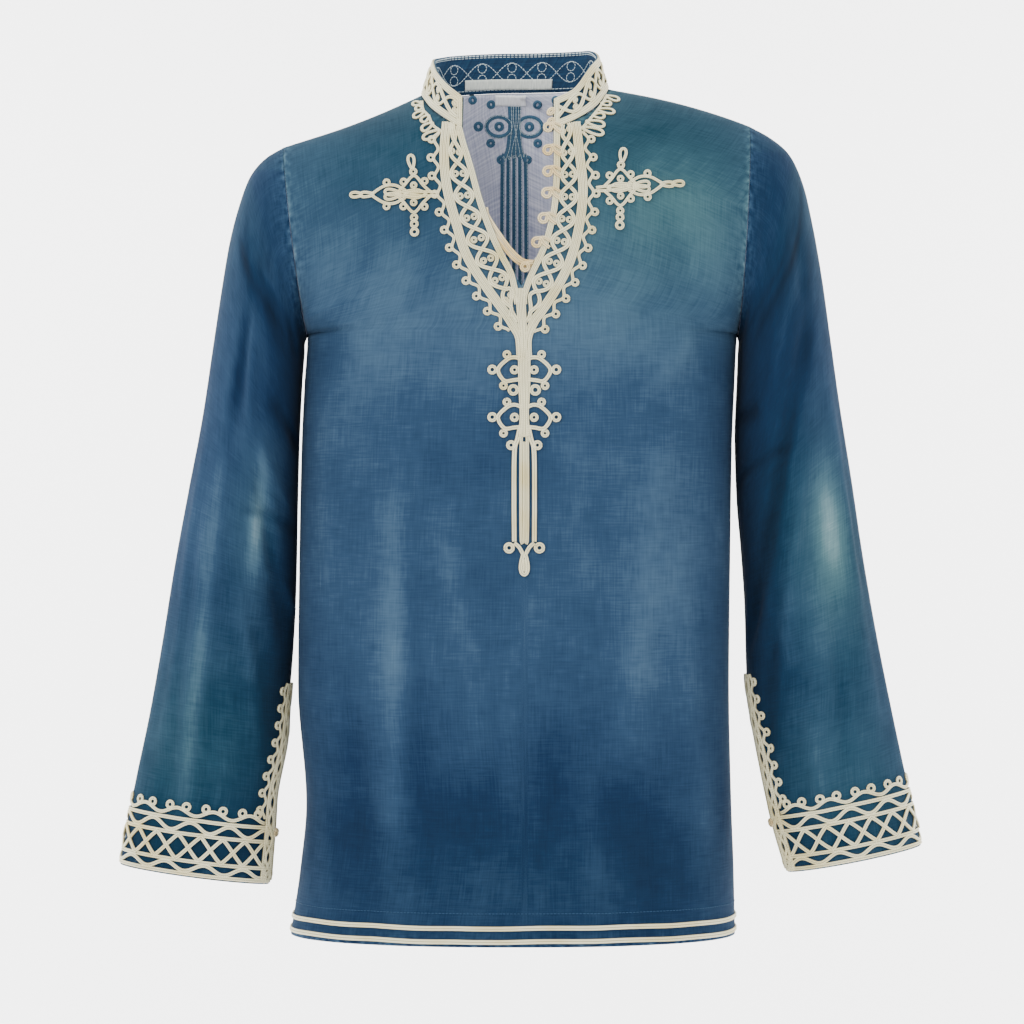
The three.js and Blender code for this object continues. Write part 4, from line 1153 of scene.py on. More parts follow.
@dataclass(frozen=True)
class Soutache:
    """Rayon soutache: two cords held by a herringbone of fine threads, with a soft shine."""

    name: str
    light: str
    shade: str
    aged: str
    hollow: str = "8f8a72"       # along the groove and both edges, where the light doesn't reach
    halves: float = 667.0        # half-widths in a metre of the mesh's second coordinate

    def make(self) -> Material:
        """Builds the material."""
        material, tree, surface = new_material(self.name)
        run = add(tree, "UVMap", uv_map="cut").outputs[0]
        place = add(tree, "TexCoord").outputs["Object"]
        slant = add(tree, "Mapping", {0: run, "Rotation": (0, 0, 0.9)}).outputs[0]
        herringbone = {"Vector": slant, "Scale": 330.0, "Distortion": 1.5, "Detail": 1.0}
        threads = add(tree, "TexWave", herringbone).outputs["Fac"]
        soil = noise(tree, place, 26.0, 3.0)
        aged = maths(tree, "MULTIPLY_ADD", soil, 3.2, -1.55, use_clamp=True)
        cord = ramp(tree, threads, ((0.0, self.shade), (0.55, self.light)))
        across = add(tree, "SeparateXYZ", {0: run}).outputs[1]
        part = maths(tree, "MULTIPLY", maths(tree, "ABSOLUTE", across), self.halves)
        shades = ((0.0, self.hollow), (0.22, "ffffff"), (0.78, "ffffff"), (1.0, self.hollow))
        hollow = ramp(tree, part, shades)
        colour = cord
        for share, tone in ((1.0, hollow), (aged, linear(self.aged))):
            tones = {0: share, 6: colour, 7: tone}
            colour = add(tree, "Mix", tones, data_type="RGBA", blend_type="MULTIPLY").outputs[2]
        cover(tree, surface, colour, threads, 0.35, 0.0003)
        surface.inputs["Roughness"].default_value = 0.55
        surface.inputs["Specular IOR Level"].default_value = 0.35
        surface.inputs["Sheen Weight"].default_value = 0.1
        return material


AGED_SOUTACHE = Soutache("soutache_ivory_aged", "ead9ae", "bfa878", "e6cd98")


@dataclass(frozen=True)
class PlainThread:
    """Cotton sewing thread or tape: matt, one colour."""

    name: str
    colour: str
    roughness: float = 0.8

    def make(self) -> Material:
        """Builds the material."""
        material, _, surface = new_material(self.name)
        surface.inputs["Base Color"].default_value = linear(self.colour)
        surface.inputs["Roughness"].default_value = self.roughness
        surface.inputs["Specular IOR Level"].default_value = 0.25
        return material


@dataclass(frozen=True)
class WovenRibbon:
    """A woven label with nothing on it: fine ribs of a pale satin, frayed a little at its ends."""

    name: str = "woven_label_ribbon"
    light: str = "c9cdc4"
    shade: str = "aab0aa"

    def make(self) -> Material:
        """Builds the material."""
        material, tree, surface = new_material(self.name)
        cut = add(tree, "UVMap", uv_map="cut").outputs[0]
        ribs = add(tree, "Mapping", {0: cut, "Scale": (1.0, 0.15, 1.0)}).outputs[0]
        grain = noise(tree, ribs, 900.0, 2.0)
        cover(tree, surface, ramp(tree, grain, ((0.3, self.shade), (0.7, self.light))), grain, 0.25, 0.0003)
        surface.inputs["Roughness"].default_value = 0.7
        return material


@dataclass
class Finishes:
    """All the finishes, each made once."""

    cloth: Material = field(default_factory=WashedCloth().make)
    # the wrong side's lilac grey is raised almost to white: painted light for the shaded inside of the shirt
    inside: Material = field(default_factory=WrongSide("wrong_side_lilac_grey", "a4a9c2", "efeff6").make)
    collar_inside: Material = field(default_factory=WrongSide("collar_facing_navy", "0c2138", "1d3c57").make)
    braid: Material = field(default_factory=Soutache("soutache_ivory", "ebe5c2", "b9b189", "f1e4ba").make)
    loops: Material = field(default_factory=AGED_SOUTACHE.make)
    reverse: Material = field(default_factory=WrongSide("reverse_strips_navy", "2e5068", "4d7289").make)
    tape: Material = field(default_factory=PlainThread("cotton_tape_beige", "d9cfb4").make)
    thread: Material = field(default_factory=PlainThread("sewing_thread_pale", "c4d3d6").make)
    seam: Material = field(default_factory=PlainThread("sewing_thread_navy", "1f3d59").make)
    label: Material = field(default_factory=WovenRibbon().make)
    tab: Material = field(default_factory=WovenRibbon("woven_tab_ribbon", "ffffff", "e9e9e6").make)


# ---- marks of washing
@dataclass(frozen=True)
class Patch:
    """A soft patch that makes the cloth lighter, or darker where gain is below 0."""

    x: float
    z: float
    reach_x: float
    reach_z: float
    gain: float
    lean: float = 0.0

    def at(self, x: Array, z: Array) -> Array:
        """Its strength at places."""
        dx = x - self.x - self.lean * (z - self.z)
        return self.gain * np.exp(-((dx / self.reach_x) ** 2) - ((z - self.z) / self.reach_z) ** 2)


@dataclass(frozen=True)
class Wash:
    """How pale one panel is: an even start and patches over it; the marked ones are painted shade and
    painted highlight.
    """

    base: float
    patches: tuple[Patch, ...]
    teal: tuple[Patch, ...]
    rub: float = 0.026           # how much paler the top of a crease is, as rubbed wear, and how much darker its foot, as painted shade, for each millimetre of its height

    def marks(self, x: Array, z: Array, folds: Sequence[Fold], scale: float = 1.0) -> dict[str, Array]:
        """The fade and teal attributes at places; the tops of creases are paler with rubbed wear, and their
        feet are darker with painted shade.
        """
        fade = self.base + sum(patch.at(x, z) for patch in self.patches)
        # painted shade at the feet of creases, and rubbed wear on their tops
        fade = fade + self.rub * folded(folds, x, z, scale)
        teal = 0.12 + sum(patch.at(x, z) for patch in self.teal)
        return {"fade": np.clip(fade, 0, 1), "teal": np.clip(teal, 0, 1)}


WASHES_AND_SHADE = {
    Face.FRONT: Wash(
        0.45,
        (
            Patch(0, -180, 240, 80, 0.15),
            Patch(-110, -170, 60, 60, 0.07),
            Patch(130, -90, 50, 60, 0.1),
            Patch(150, -140, 30, 40, 0.06),
            Patch(-70, -130, 22, 50, -0.1),
            Patch(-120, -30, 60, 34, -0.1),
            Patch(120, -30, 70, 36, -0.13),
            Patch(80, -210, 60, 40, 0.06),
            # painted highlight: a thin pale line along the ridge of the fold at x -104
            Patch(-101, -470, 8, 120, 0.07, 0.01),
            Patch(-120, -440, 34, 150, 0.06),
            Patch(-160, -300, 24, 90, 0.04),
            Patch(120, -400, 50, 130, 0.1),
            Patch(20, -420, 46, 120, 0.06),
            Patch(0, -600, 170, 80, -0.12),
            Patch(110, -660, 80, 80, -0.12),
            Patch(-60, -660, 70, 80, -0.07),
            Patch(-150, -640, 34, 90, -0.08),
            Patch(0, -712, 260, 20, -0.06),
            # painted shade: darker at both sides under the arms, where the sleeves meet the body
            Patch(-172, -230, 22, 60, -0.12),
            Patch(178, -250, 22, 70, -0.12),
        ),
        (Patch(0, -10, 300, 110, 0.75), Patch(130, -110, 90, 80, 0.55), Patch(0, -660, 200, 60, 0.1)),
    ),
    Face.BACK: Wash(
        0.45,
        (
            Patch(0, -160, 240, 90, 0.13),
            Patch(-100, -420, 24, 150, 0.12),
            Patch(90, -470, 20, 150, 0.14),
            Patch(0, -600, 160, 120, -0.12),
            Patch(0, -712, 260, 22, -0.06),
        ),
        (Patch(0, -10, 300, 110, 0.75), Patch(0, -640, 200, 60, 0.12)),
    ),
    Side.LEFT: Wash(
        0.37,
        (
            Patch(112, -362, 8, 44, 0.38, 0.03),
            Patch(116, -345, 24, 60, 0.14),
            # painted highlight: a pale line along the ridge of the long fold on the lower sleeve
            Patch(70, -430, 6, 150, 0.15, -0.03),
            Patch(62, -400, 14, 150, 0.05, -0.03),
            Patch(88, -560, 22, 60, 0.03),
            Patch(50, -300, 30, 110, 0.06),
            Patch(40, -110, 60, 50, 0.03),
            # painted shade: darker along the sleeve's inner side, next to the body
            Patch(150, -240, 34, 80, -0.14),
            Patch(160, -420, 26, 120, -0.12),
            Patch(140, -540, 36, 80, -0.12),
            Patch(-90, -300, 50, 160, 0.06),
            Patch(0, -640, 220, 40, -0.12),
        ),
        (Patch(40, -80, 120, 90, 0.3), Patch(60, -560, 120, 110, 0.6), Patch(110, -362, 30, 60, 0.3)),
    ),
    Side.RIGHT: Wash(
        0.32,
        (
            Patch(62, -370, 17, 60, 0.48),
            Patch(84, -430, 22, 80, 0.2),
            Patch(40, -260, 24, 60, 0.08),
            Patch(40, -90, 60, 50, 0.05),
            # painted shade: darker along the sleeve's inner side, next to the body
            Patch(150, -260, 40, 120, -0.12),
            Patch(150, -420, 26, 120, -0.12),
            Patch(90, -180, 24, 70, -0.04),
            Patch(70, -570, 46, 60, 0.14),
            Patch(-90, -300, 50, 160, 0.08),
        ),
        (Patch(50, -80, 120, 100, 0.4), Patch(60, -390, 60, 100, 0.75), Patch(80, -590, 120, 90, 0.5)),
    ),
}


def edge_mark(cloth: Cloth, reach: float = 5.0) -> Array:
    """How near each point lies to a seam or hem: 1 on it, falling off over reach.

    Args:
        cloth: The sheet.
        reach: The distance over which it falls off.

    Returns:
        A value for each point.
    """
    used: dict[tuple[int, int], int] = {}
    for quad in cloth.quads:
        for a, b in zip(quad, quad[1:] + quad[:1]):
            key = (min(a, b), max(a, b))
            used[key] = used.get(key, 0) + 1
    rim = sorted({n for key, count in used.items() if count == 1 for n in key})
    near = np.full(len(cloth.points), np.inf)
    for n in rim:
        near = np.minimum(near, np.linalg.norm(cloth.points - cloth.points[n], axis=1))
    return np.exp(-near / reach)


def laid_flat(grid: Array, start: float = 0.0) -> Array:
    """A grid's points laid flat: distance along each row, and along its middle column.

    Args:
        grid: Rows x columns x 3.
        start: Where each row starts.

    Returns:
        Rows x columns x 2.
    """
    up = travelled(grid[:, grid.shape[1] // 2])
    return stack(start + travelled(grid, 1), up[:, None])


def area_of(cloth: Cloth) -> float:
    """The cloth's own area, in square metres.

    Args:
        cloth: The sheet.

    Returns:
        The area of its outer side.
    """
    total = 0.0
    for quad in cloth.quads:
        for n in range(1, len(quad) - 1):
            a, b, c = (cloth.points[quad[k]] for k in (0, n, n + 1))
            total += float(np.linalg.norm(np.cross(b - a, c - a))) / 2
    return total * MM * MM


# ---- the cloth pieces
def made_up(cloth: Cloth, outside: Material, inside: Material, marks: dict[str, Array], node: str) -> Piece:
    """Args:
        cloth: The sheet.
        outside: The finish of its right side.
        inside: The finish of its wrong side.
        marks: Its fade with painted shade and painted highlight, its teal and how near each point is to an
            edge.
        node: The node that it stands for.

    Returns:
        The piece.
    """
    piece = cloth.build(outside, inside, marks)
    LOG.info("%s area %.4f", cloth.name, area_of(cloth))
    return dress(piece, "washed_cloth", node)


@dataclass
class BodyPanel:
    """The front or the back.

    Args:
        form: The shirt's form.
        face: Which of the two.
        columns: Columns from the middle to the side seam.
        low_rows: Rows from the hem to the underarm.
        step_rows: Rows in each step above it.
        flat: Not used.
    """

    form: Form
    face: Face
    columns: int = 46
    low_rows: int = 104
    step_rows: int = 6
    flat: tuple[float, float] = (0.52, 0.745)

    def cut(self) -> Cloth:
        """Works out both halves."""
        levels = [n / self.low_rows - 1 for n in range(self.low_rows + 1)]
        levels += [(n + 1) / self.step_rows for n in range(UPPER_STEPS * self.step_rows)]
        spans = np.linspace(0, 1, self.columns + 1)
        grids, flats = [], []
        for side in Side:
            grid = np.array([self.form.panel_row(self.face, side, level, spans) for level in levels])
            grid = grid if side is Side.RIGHT else grid[:, ::-1]
            grids.append(grid)
            flats.append(laid_flat(grid, 0.0 if side is Side.RIGHT else -LEFT_HALF))
        return Cloth(f"{self.face.word}_panel", grids, flats, CLOTH, self.face is Face.BACK)

    def build(self, finishes: Finishes) -> tuple[Piece, Cloth]:
        """Makes the panel.

        Args:
            finishes: The finishes.

        Returns:
            The piece and its cloth, for what is laid on it.
        """
        cloth = self.cut()
        marks = WASHES_AND_SHADE[self.face].marks(cloth.points[:, 0], cloth.points[:, 2], FOLDS[self.face])
        marks["edge"] = edge_mark(cloth)
        return made_up(cloth, finishes.cloth, finishes.inside, marks, self.face.word), cloth


@dataclass
class Sleeve:
    """One sleeve, from its armhole to its open cuff.

    Args:
        form: The shirt's form.
        side: Which side.
        rows: Rows from the armhole to the hem.
        columns: Columns round it.
        flat: Not used.
    """

    form: Form
    side: Side
    rows: int = 150
    columns: int = 84
    flat: tuple[float, float] = (0.36, 0.64)

    def cut(self) -> Cloth:
        """Works out the sleeve and how it lies flat."""
        start = self.form.slit_start(self.side)
        above = round(self.rows * start / LAST_SECTION)
        below = np.linspace(start, LAST_SECTION, self.rows - above)
        at = np.concatenate([np.linspace(0, start, above), below[1:]])
        opened = self.form.slit_turn(self.side, at)
        spans = np.linspace(-1, 1, self.columns + 1)
        turn = spans[None, :] * (180 - opened[:, None])
        grid = self.form.sleeve(self.side, at[:, None] + 0 * spans, turn)
        grid[0] += self.form.armhole_across(self.side) * SEAM_GAP / 2
        closed = opened == 0
        grid[closed, -1] = grid[closed, 0]
        flat = laid_flat(grid)
        return Cloth(f"sleeve_{self.side.word}_cloth", [grid], [flat], CLOTH, self.side is Side.LEFT)

    def build(self, finishes: Finishes) -> Piece:
        """Makes the sleeve.

        Args:
            finishes: The finishes.

        Returns:
            The piece.
        """
        cloth = self.cut()
        turn = self.turn_of(cloth.points)
        marks = WASHES_AND_SHADE[self.side].marks(turn, cloth.points[:, 2], FOLDS[self.side], 0.9)
        marks["edge"] = edge_mark(cloth)
        return made_up(cloth, finishes.cloth, finishes.inside, marks, f"sleeve_{self.side.word}")

    def turn_of(self, points: Array) -> Array:
        """The turn of points round the sleeve, in degrees.

        Args:
            points: Points of the sleeve.

        Returns:
            The turn of each: 0 at the outer edge, above 0 on the front.
        """
        table = SLEEVES[self.side]
        z = points[:, 2]
        out_x = np.interp(-z, -table.columns["out_z"], table.columns["out_x"])
        off = np.interp(-z, -table.columns["in_z"], table.columns["off"])
        in_x = self.side.value * (BODY.read("z", self.side.word, z) + off)
        middle = (out_x + in_x) / 2
        cos = np.clip((points[:, 0] - middle) / (out_x - middle), -1, 1)
        return np.degrees(np.arccos(cos)) * np.where(points[:, 1] < 0, 1.0, -1.0)


@dataclass
class StandCollar:
    """The stand collar: two layers turned out at the top, with its facing inside."""

    form: Form
    columns: int = 150
    rows: int = 9
    thickness: float = 1.5
    flat: tuple[float, float] = (0.385, 0.034)

    def cut(self) -> Cloth:
        """Works out the collar and how it lies flat."""
        at = np.linspace(0, COLLAR_END, self.columns + 1)
        base = self.form.collar_base(at) + self.form.collar_across(at) * SEAM_GAP / 2
        top = self.form.collar_top(at)
        grid = np.array([mix(base, top, h) for h in np.linspace(0, 1, self.rows)])
        return Cloth("stand_collar", [grid], [laid_flat(grid)], self.thickness, True)

    def build(self, finishes: Finishes) -> Piece:
        """Makes the collar.

        Args:
            finishes: The finishes.

        Returns:
            The piece.
        """
        cloth = self.cut()
        count = len(cloth.points)
        marks = {"fade": np.full(count, 0.42), "teal": np.full(count, 0.5), "edge": edge_mark(cloth, 3.0)}
        return made_up(cloth, finishes.cloth, finishes.collar_inside, marks, "collar")


# ---- the stage
@dataclass(frozen=True)
class Stage:
    """A pale sweep, soft light from above and both sides, and the camera."""

    floor_z: float = -1.45
    camera_at: tuple[float, float, float] = (-0.00425, -3.0, -0.3536)
    lens: float = 124.08
    sensor: float = 36.0

    def sweep(self) -> None:
        """A floor that curves up into a backdrop, so that no horizon shows; it is clear from behind."""
        depth, rise, width, radius = 3.2, 4.5, 9.0, 1.6
        line = [(-7.0, 0.0), (depth - radius, 0.0)]
        for n in range(1, 17):
            angle = n / 16 * math.pi / 2
            line.append((depth - radius + radius * math.sin(angle), radius - radius * math.cos(angle)))
        line.append((depth, rise))
        points = [(x, y, self.floor_z + z) for x in (-width, width) for y, z in line]
        count = len(line)
        faces = [(n, n + count, n + count + 1, n + 1) for n in range(count - 1)]
        mesh = bpy.data.meshes.new("pale_sweep")
        mesh.from_pydata(points, [], faces)
        mesh.shade_smooth()
        material, tree, surface = new_material("matt_paper_sweep")
        surface.inputs["Base Color"].default_value = linear("f4f4f4")
        surface.inputs["Roughness"].default_value = 1.0
        surface.inputs["Specular IOR Level"].default_value = 0.0
        behind = add(tree, "NewGeometry").outputs["Backfacing"]
        seen = add(tree, "LightPath").outputs["Is Camera Ray"]
        both = maths(tree, "MULTIPLY", behind, seen)
        clear = add(tree, "BsdfTransparent").outputs[0]
        mixed = add(tree, "MixShader", {0: both, 1: surface.outputs[0], 2: clear}).outputs[0]
        tree.links.new(mixed, tree.nodes["Material Output"].inputs["Surface"])
        mesh.materials.append(material)
        linked("pale_sweep", mesh)

    def light(self, name: str, place: tuple, aim: tuple, size: float, power: float) -> None:
        """A square soft light at a place, faced to an aim.

        Args:
            name: Its name.
            place: Where it stands, in metres.
            aim: What it faces.
            size: The length of its side.
            power: Its power in watts.
        """
        lamp = bpy.data.lights.new(name, "AREA")
        lamp.shape = "SQUARE"
        lamp.size = size
        lamp.energy = power
        holder = linked(name, lamp)
        holder.location = place
        holder.visible_camera = False
        way = Vector(aim) - Vector(place)
        holder.rotation_euler = way.to_track_quat("-Z", "Y").to_euler()

    def build(self) -> None:
        """Sets out the sweep, the lights, the sky and the camera."""
        self.sweep()
        chest = (0.0, 0.0, -0.35)
        self.light("key_soft_box", (-2.2, -2.8, 1.9), chest, 2.2, 165)
        self.light("fill_soft_box", (2.6, -2.4, 0.6), chest, 2.6, 66)
        self.light("top_soft_box", (0.0, 0.2, 2.6), chest, 2.4, 66)
        for side in Side:
            x = 2.1 * side.value
            self.light(f"backdrop_light_{side.word}", (x, 0.9, 0.3), (x * 0.3, 3.2, -0.5), 1.8, 215)
        world = bpy.data.worlds.new("studio_air")
        world.use_nodes = True
        world.node_tree.nodes["Background"].inputs[0].default_value = (1.0, 1.0, 1.0, 1.0)
        world.node_tree.nodes["Background"].inputs[1].default_value = 1.2
        bpy.context.scene.world = world
        lens = bpy.data.cameras.new("studio_camera")
        lens.lens = self.lens
        lens.sensor_width = self.sensor
        lens.clip_end = 30.0
        camera = linked("studio_camera", lens)
        camera.location = self.camera_at
        camera.rotation_euler = (math.pi / 2, 0, 0)
        bpy.context.scene.camera = camera


# ---- lines in a pattern plane
def curve(points: Sequence[Sequence[float]], step: float = 1.4, closed: bool = False) -> Array:
    """A smooth line through points, with even steps.

    Args:
        points: What it passes through.
        step: The distance between its points.
        closed: Whether it joins its start.

    Returns:
        The line's points.
    """
    given = np.array(points, float)
    if closed:
        given = np.vstack([given[-1:], given, given[:2]])
    else:
        given = np.vstack([2 * given[0] - given[1], given, 2 * given[-1] - given[-2]])
    t = np.linspace(0, 1, 25)[:-1, None]
    parts = []
    for a, b, c, d in zip(given, given[1:], given[2:], given[3:]):
        bend = (2 * a - 5 * b + 4 * c - d) * t**2 + (3 * b - a - 3 * c + d) * t**3
        parts.append(0.5 * (2 * b + (c - a) * t + bend))
    parts.append(given[-2:-1])
    return even(np.vstack(parts), step)


def even(line: Array, step: float) -> Array:
    """The same line with even steps.

    Args:
        line: The line's points.
        step: The step's length, about.

    Returns:
        The new points.
    """
    along = travelled(line)
    count = max(3, int(round(along[-1] / step)) + 1)
    return walk(line, np.linspace(0, 1, count))


def length_of(line: Array) -> float:
    """A line's length."""
    return float(np.linalg.norm(np.diff(line, axis=0), axis=1).sum())


def walk(line: Array, parts: Array) -> Array:
    """Points of a line at fractions of its length.

    Args:
        line: The line's points.
        parts: The fractions, from 0 to 1.

    Returns:
        The points.
    """
    along = travelled(line)
    places = np.asarray(parts) * along[-1]
    return np.stack([np.interp(places, along, line[:, axis]) for axis in (0, 1)], axis=-1)


def beside(line: Array, off: Array | float) -> Array:
    """A line moved sideways, to its left where off is more than 0."""
    way = unit(np.gradient(line, axis=0))
    return line + np.stack([-way[:, 1], way[:, 0]], axis=-1) * np.broadcast_to(off, len(line))[:, None]


def circle(centre: Sequence[float], radius: float, start: float = 0.0) -> Array:
    """A closed round line.

    Args:
        centre: Its middle.
        radius: Its radius.
        start: Where it starts, in degrees.

    Returns:
        The line's points.
    """
    count = max(12, int(2 * math.pi * radius / 0.95))
    angles = math.radians(start) + np.linspace(0, 2 * math.pi, count + 1)
    return np.asarray(centre) + radius * np.stack([np.cos(angles), np.sin(angles)], axis=-1)


def teardrop(base: Sequence[float], way: float, length: float, breadth: float) -> Array:
    """A closed loop that is pointed at its base.

    Args:
        base: Its point.
        way: The direction to its round end, in degrees.
        length: Its length along the braid's middle.
        breadth: Its breadth there.

    Returns:
        The line's points.
    """
    t = np.linspace(0, 2 * math.pi, 26)
    out = length * (1 - np.cos(t)) / 2
    wide = breadth / 2 * np.sin(t) * (0.45 + 0.75 * out / length)
    c, s = math.cos(math.radians(way)), math.sin(math.radians(way))
    return even(np.asarray(base) + np.stack([out * c - wide * s, out * s + wide * c], axis=-1), 1.0)


def waves(line_a: Array, line_b: Array, pitch: float, first: float) -> tuple[Array, Array, Array, Array]:
    """Two cords that cross between two lines.

    Args:
        line_a: One line.
        line_b: The other, which runs the same way.
        pitch: The distance between crossings.
        first: Where the first lens has its middle, along the band.

    Returns:
        Both cords' points, how high each passes at each point (0 to 1), and the lenses' middles with
        the way across there, as rows of four numbers.
    """
    parts = np.linspace(0, 1, 400)
    a, b = walk(line_a, parts), walk(line_b, parts)
    middle, half = (a + b) / 2, (b - a) / 2
    total = length_of(middle)
    along = parts * total
    swing = np.cos(math.pi * (along - first) / pitch)[:, None]
    high = 0.5 + 0.5 * np.cos(math.pi * ((along - first) / pitch - 0.5))
    lenses = []
    for n in range(int((total - first) / pitch) + 1):
        place = (first + n * pitch) / total
        spot = np.array([np.interp(place, parts, middle[:, k]) for k in (0, 1)])
        way = np.array([np.interp(place, parts, half[:, k]) for k in (0, 1)])
        lenses.append([*spot, *way])
    return middle + half * swing, middle - half * swing, high, np.array(lenses)


# ---- couched braid
@dataclass(frozen=True)
class Soft:
    """A cord's section: two round lobes, or one, on a flat back."""

    width: float
    height: float
    lobes: int = 2

    def section(self) -> Array:
        """Points across and up, round the section."""
        if self.lobes == 2:
            across = np.array([-0.5, -0.43, -0.25, 0.0, 0.25, 0.43, 0.5, 0.4, -0.4])
            up = np.array([0.2, 0.72, 1.0, 0.42, 1.0, 0.72, 0.2, -0.1, -0.1])
        else:
            across = np.array([-0.5, -0.32, 0.0, 0.32, 0.5, 0.3, -0.3])
            up = np.array([0.35, 0.85, 1.0, 0.85, 0.35, -0.1, -0.1])
        return np.stack([across * self.width, up * self.height], axis=-1)


BRAID = Soft(3.3, 1.6)
RAIL = Soft(2.65, 1.6)
FINE = Soft(2.6, 1.5)
PENDANT = Soft(4.0, 1.6)
HEM = Soft(4.0, 1.5)
KNOT_RING = Soft(2.7, 1.5)
SMALL_RING = Soft(2.4, 1.4)
STITCH = Soft(0.55, 0.35, 1)
OVER = 1.15                 # how far a cord rises to cross another
RAIL_PITCH = 2.62


@dataclass
class Couching:
    """Cords laid on a ground, gathered into one mesh.

    Args:
        name: The piece's name.
        ground: What they lie on.
        finish: Their material.
        base: Height of their backs above the cloth's outer side; below 0 on its wrong side.
    """

    name: str
    ground: Ground
    finish: Material
    base: float = 0.12
    points: list[Array] = field(default_factory=list)
    faces: list[list[int]] = field(default_factory=list)
    runs: list[Array] = field(default_factory=list)
    count: int = 0
    length: float = 0.0

    def lay(self, line: Array, cord: Soft = BRAID, lift: Array | float = 0.0) -> None:
        """Sweeps a cord along a flat line.

        Args:
            line: The line's points.
            cord: Its section.
            lift: Height above the base, along the line.
        """
        flip = -1.0 if self.base < 0 else 1.0
        spots, normal = self.ground.frame(line, self.base + flip * np.asarray(lift))
        normal = normal * flip
        along = unit(np.gradient(spots, axis=0))
        side = unit(np.cross(normal, along))
        normal = np.cross(along, side)
        section = cord.section()
        around = len(section)
        across, up = section[None, :, :1], section[None, :, 1:]
        rings = spots[:, None] + side[:, None] * across + normal[:, None] * up
        run = travelled(spots)
        self.length += float(run[-1])
        self.points.append(rings.reshape(-1, 3))
        self.runs.append(stack(run[:, None], section[None, :, 0] * 3 / cord.width).reshape(-1, 2))
        rows = np.arange(len(spots) - 1)[:, None] * around + self.count
        here = np.arange(around)[None, :]
        there = (here + 1) % around
        quads = np.stack([rows + here, rows + around + here, rows + around + there, rows + there], axis=-1)
        self.faces.extend(quads.reshape(-1, 4).tolist())
        last = self.count + (len(spots) - 1) * around
        self.faces.append([self.count + n for n in range(around)])
        self.faces.append([last + n for n in reversed(range(around))])
        self.count += len(spots) * around

    def stitch(self, line: Array, length: float, gap: float, cord: Soft = STITCH) -> None:
        """Sews along a flat line.

        Args:
            line: The line's points.
            length: A stitch's length.
            gap: The gap after it.
            cord: The thread's section.
        """
        for stitch in dashes(line, length, gap):
            self.lay(stitch, cord)

    def ring(self, centre: Array, radius: float = 2.7, cord: Soft = FINE, lift: float = 0.3) -> None:
        """Lays a small closed ring; its start is turned so that the joins don't line up."""
        self.lay(circle(centre, radius, 37.0 * (self.count % 7)), cord, lift)

    def pair(self, lens: Array, apart: float, radius: float, cord: Soft) -> None:
        """Lays two rings side by side across a lens.

        Args:
            lens: The lens's middle and the way across it.
            apart: The distance from the middle to each ring's.
            radius: The rings' radius.
            cord: Their section.
        """
        way = lens[2:] / np.linalg.norm(lens[2:])
        for sign in (-1, 1):
            self.ring(lens[:2] + way * sign * apart, radius, cord, 0.15)

    def edging(self, line: Array, off: float, pitch: float, radius: float = 2.35) -> None:
        """Lays a scalloped cord with a ring on each scallop.

        Args:
            line: The line that it edges.
            off: Distance from the line to the rings' middles; its sign is the side.
            pitch: The distance between rings.
            radius: The rings' radius.
        """
        count = max(1, round(length_of(line) / pitch))
        fine = even(line, 1.2)
        part = np.linspace(0, count, len(fine))
        low, high = abs(off) - 5.9, abs(off) - radius + 0.2
        reach = low + (high - low) * np.sin(math.pi * part) ** 2
        self.lay(beside(fine, math.copysign(1.0, off) * reach), FINE, 0.05)
        middles = walk(beside(fine, off), (np.arange(count) + 0.5) / count)
        for middle in middles:
            self.ring(middle, radius)

    def build(self, *nodes: str, slot: str = "braid") -> Piece:
        """Makes the mesh of all the cords, in place of its nodes."""
        piece = new_object(self.name, np.concatenate(self.points), self.faces, [self.finish])
        lay_uv(piece.data, np.concatenate(self.runs))
        LOG.info("%s: %.2f m of cord", self.name, self.length * MM)
        return dress(piece, slot, *nodes)


# ---- the neck
STEM_X = 5.8                # the line that the stem hangs on; the slit's foot lies left of it
SLIT_X = 2.4
SLIT_FOOT = -168.0
V_RAILS = {
    Side.LEFT: [
        [-58.2, -31],
        [-60.2, -60],
        [-57.3, -88.6],
        [-49.5, -118],
        [-41.3, -143],
        [-25.6, -168.4],
        [-8.4, -192.3],
        [0, -206],
    ],
    Side.RIGHT: [
        [48.4, -31],
        [51.7, -60],
        [54.2, -88],
        [51, -118],
        [43.5, -147],
        [31, -172],
        [14.7, -196],
        [7, -206],
    ],
}
SEAM_LOOPS = {
    Side.LEFT: [
        [-79.9, -12.0, -87.4, -11.0],
        [-78.8, -17.0, -84.6, -16.6],
        [-77.6, -20.5, -85.8, -25.4],
        [-73.2, -24.6, -79.0, -30.0],
        [-69.8, -31.6, -78.6, -37.6],
        [-63.4, -38.2, -77.6, -44.8],
    ],
    Side.RIGHT: [
        [75.2, -4.6, 85.4, -8.6],
        [70.6, -12.4, 78.4, -12.6],
        [67.0, -18.8, 80.8, -21.0],
        [63.0, -24.8, 72.4, -25.0],
        [57.0, -30.4, 72.2, -33.2],
        [53.4, -35.6, 71.2, -40.6],
    ],
}
SEAM_CORD = {
    Side.LEFT: [[-80, -9], [-78.4, -18.5], [-73.5, -25], [-70, -33], [-63.5, -38.5]],
    Side.RIGHT: [[76, -3], [71, -13], [65, -22], [59, -30], [54, -36]],
}
LOOP_HEIGHTS = [-36, -55, -73, -91, -112, -132]
COLLAR_LOOPS = [20, 9]


def slit_line(side: Side) -> Array:
    """One edge of the V slit, from the collar down."""
    z = np.linspace(-34.5, SLIT_FOOT, 60)
    return np.stack([SLIT.read("z", side.word, z), z], axis=-1)


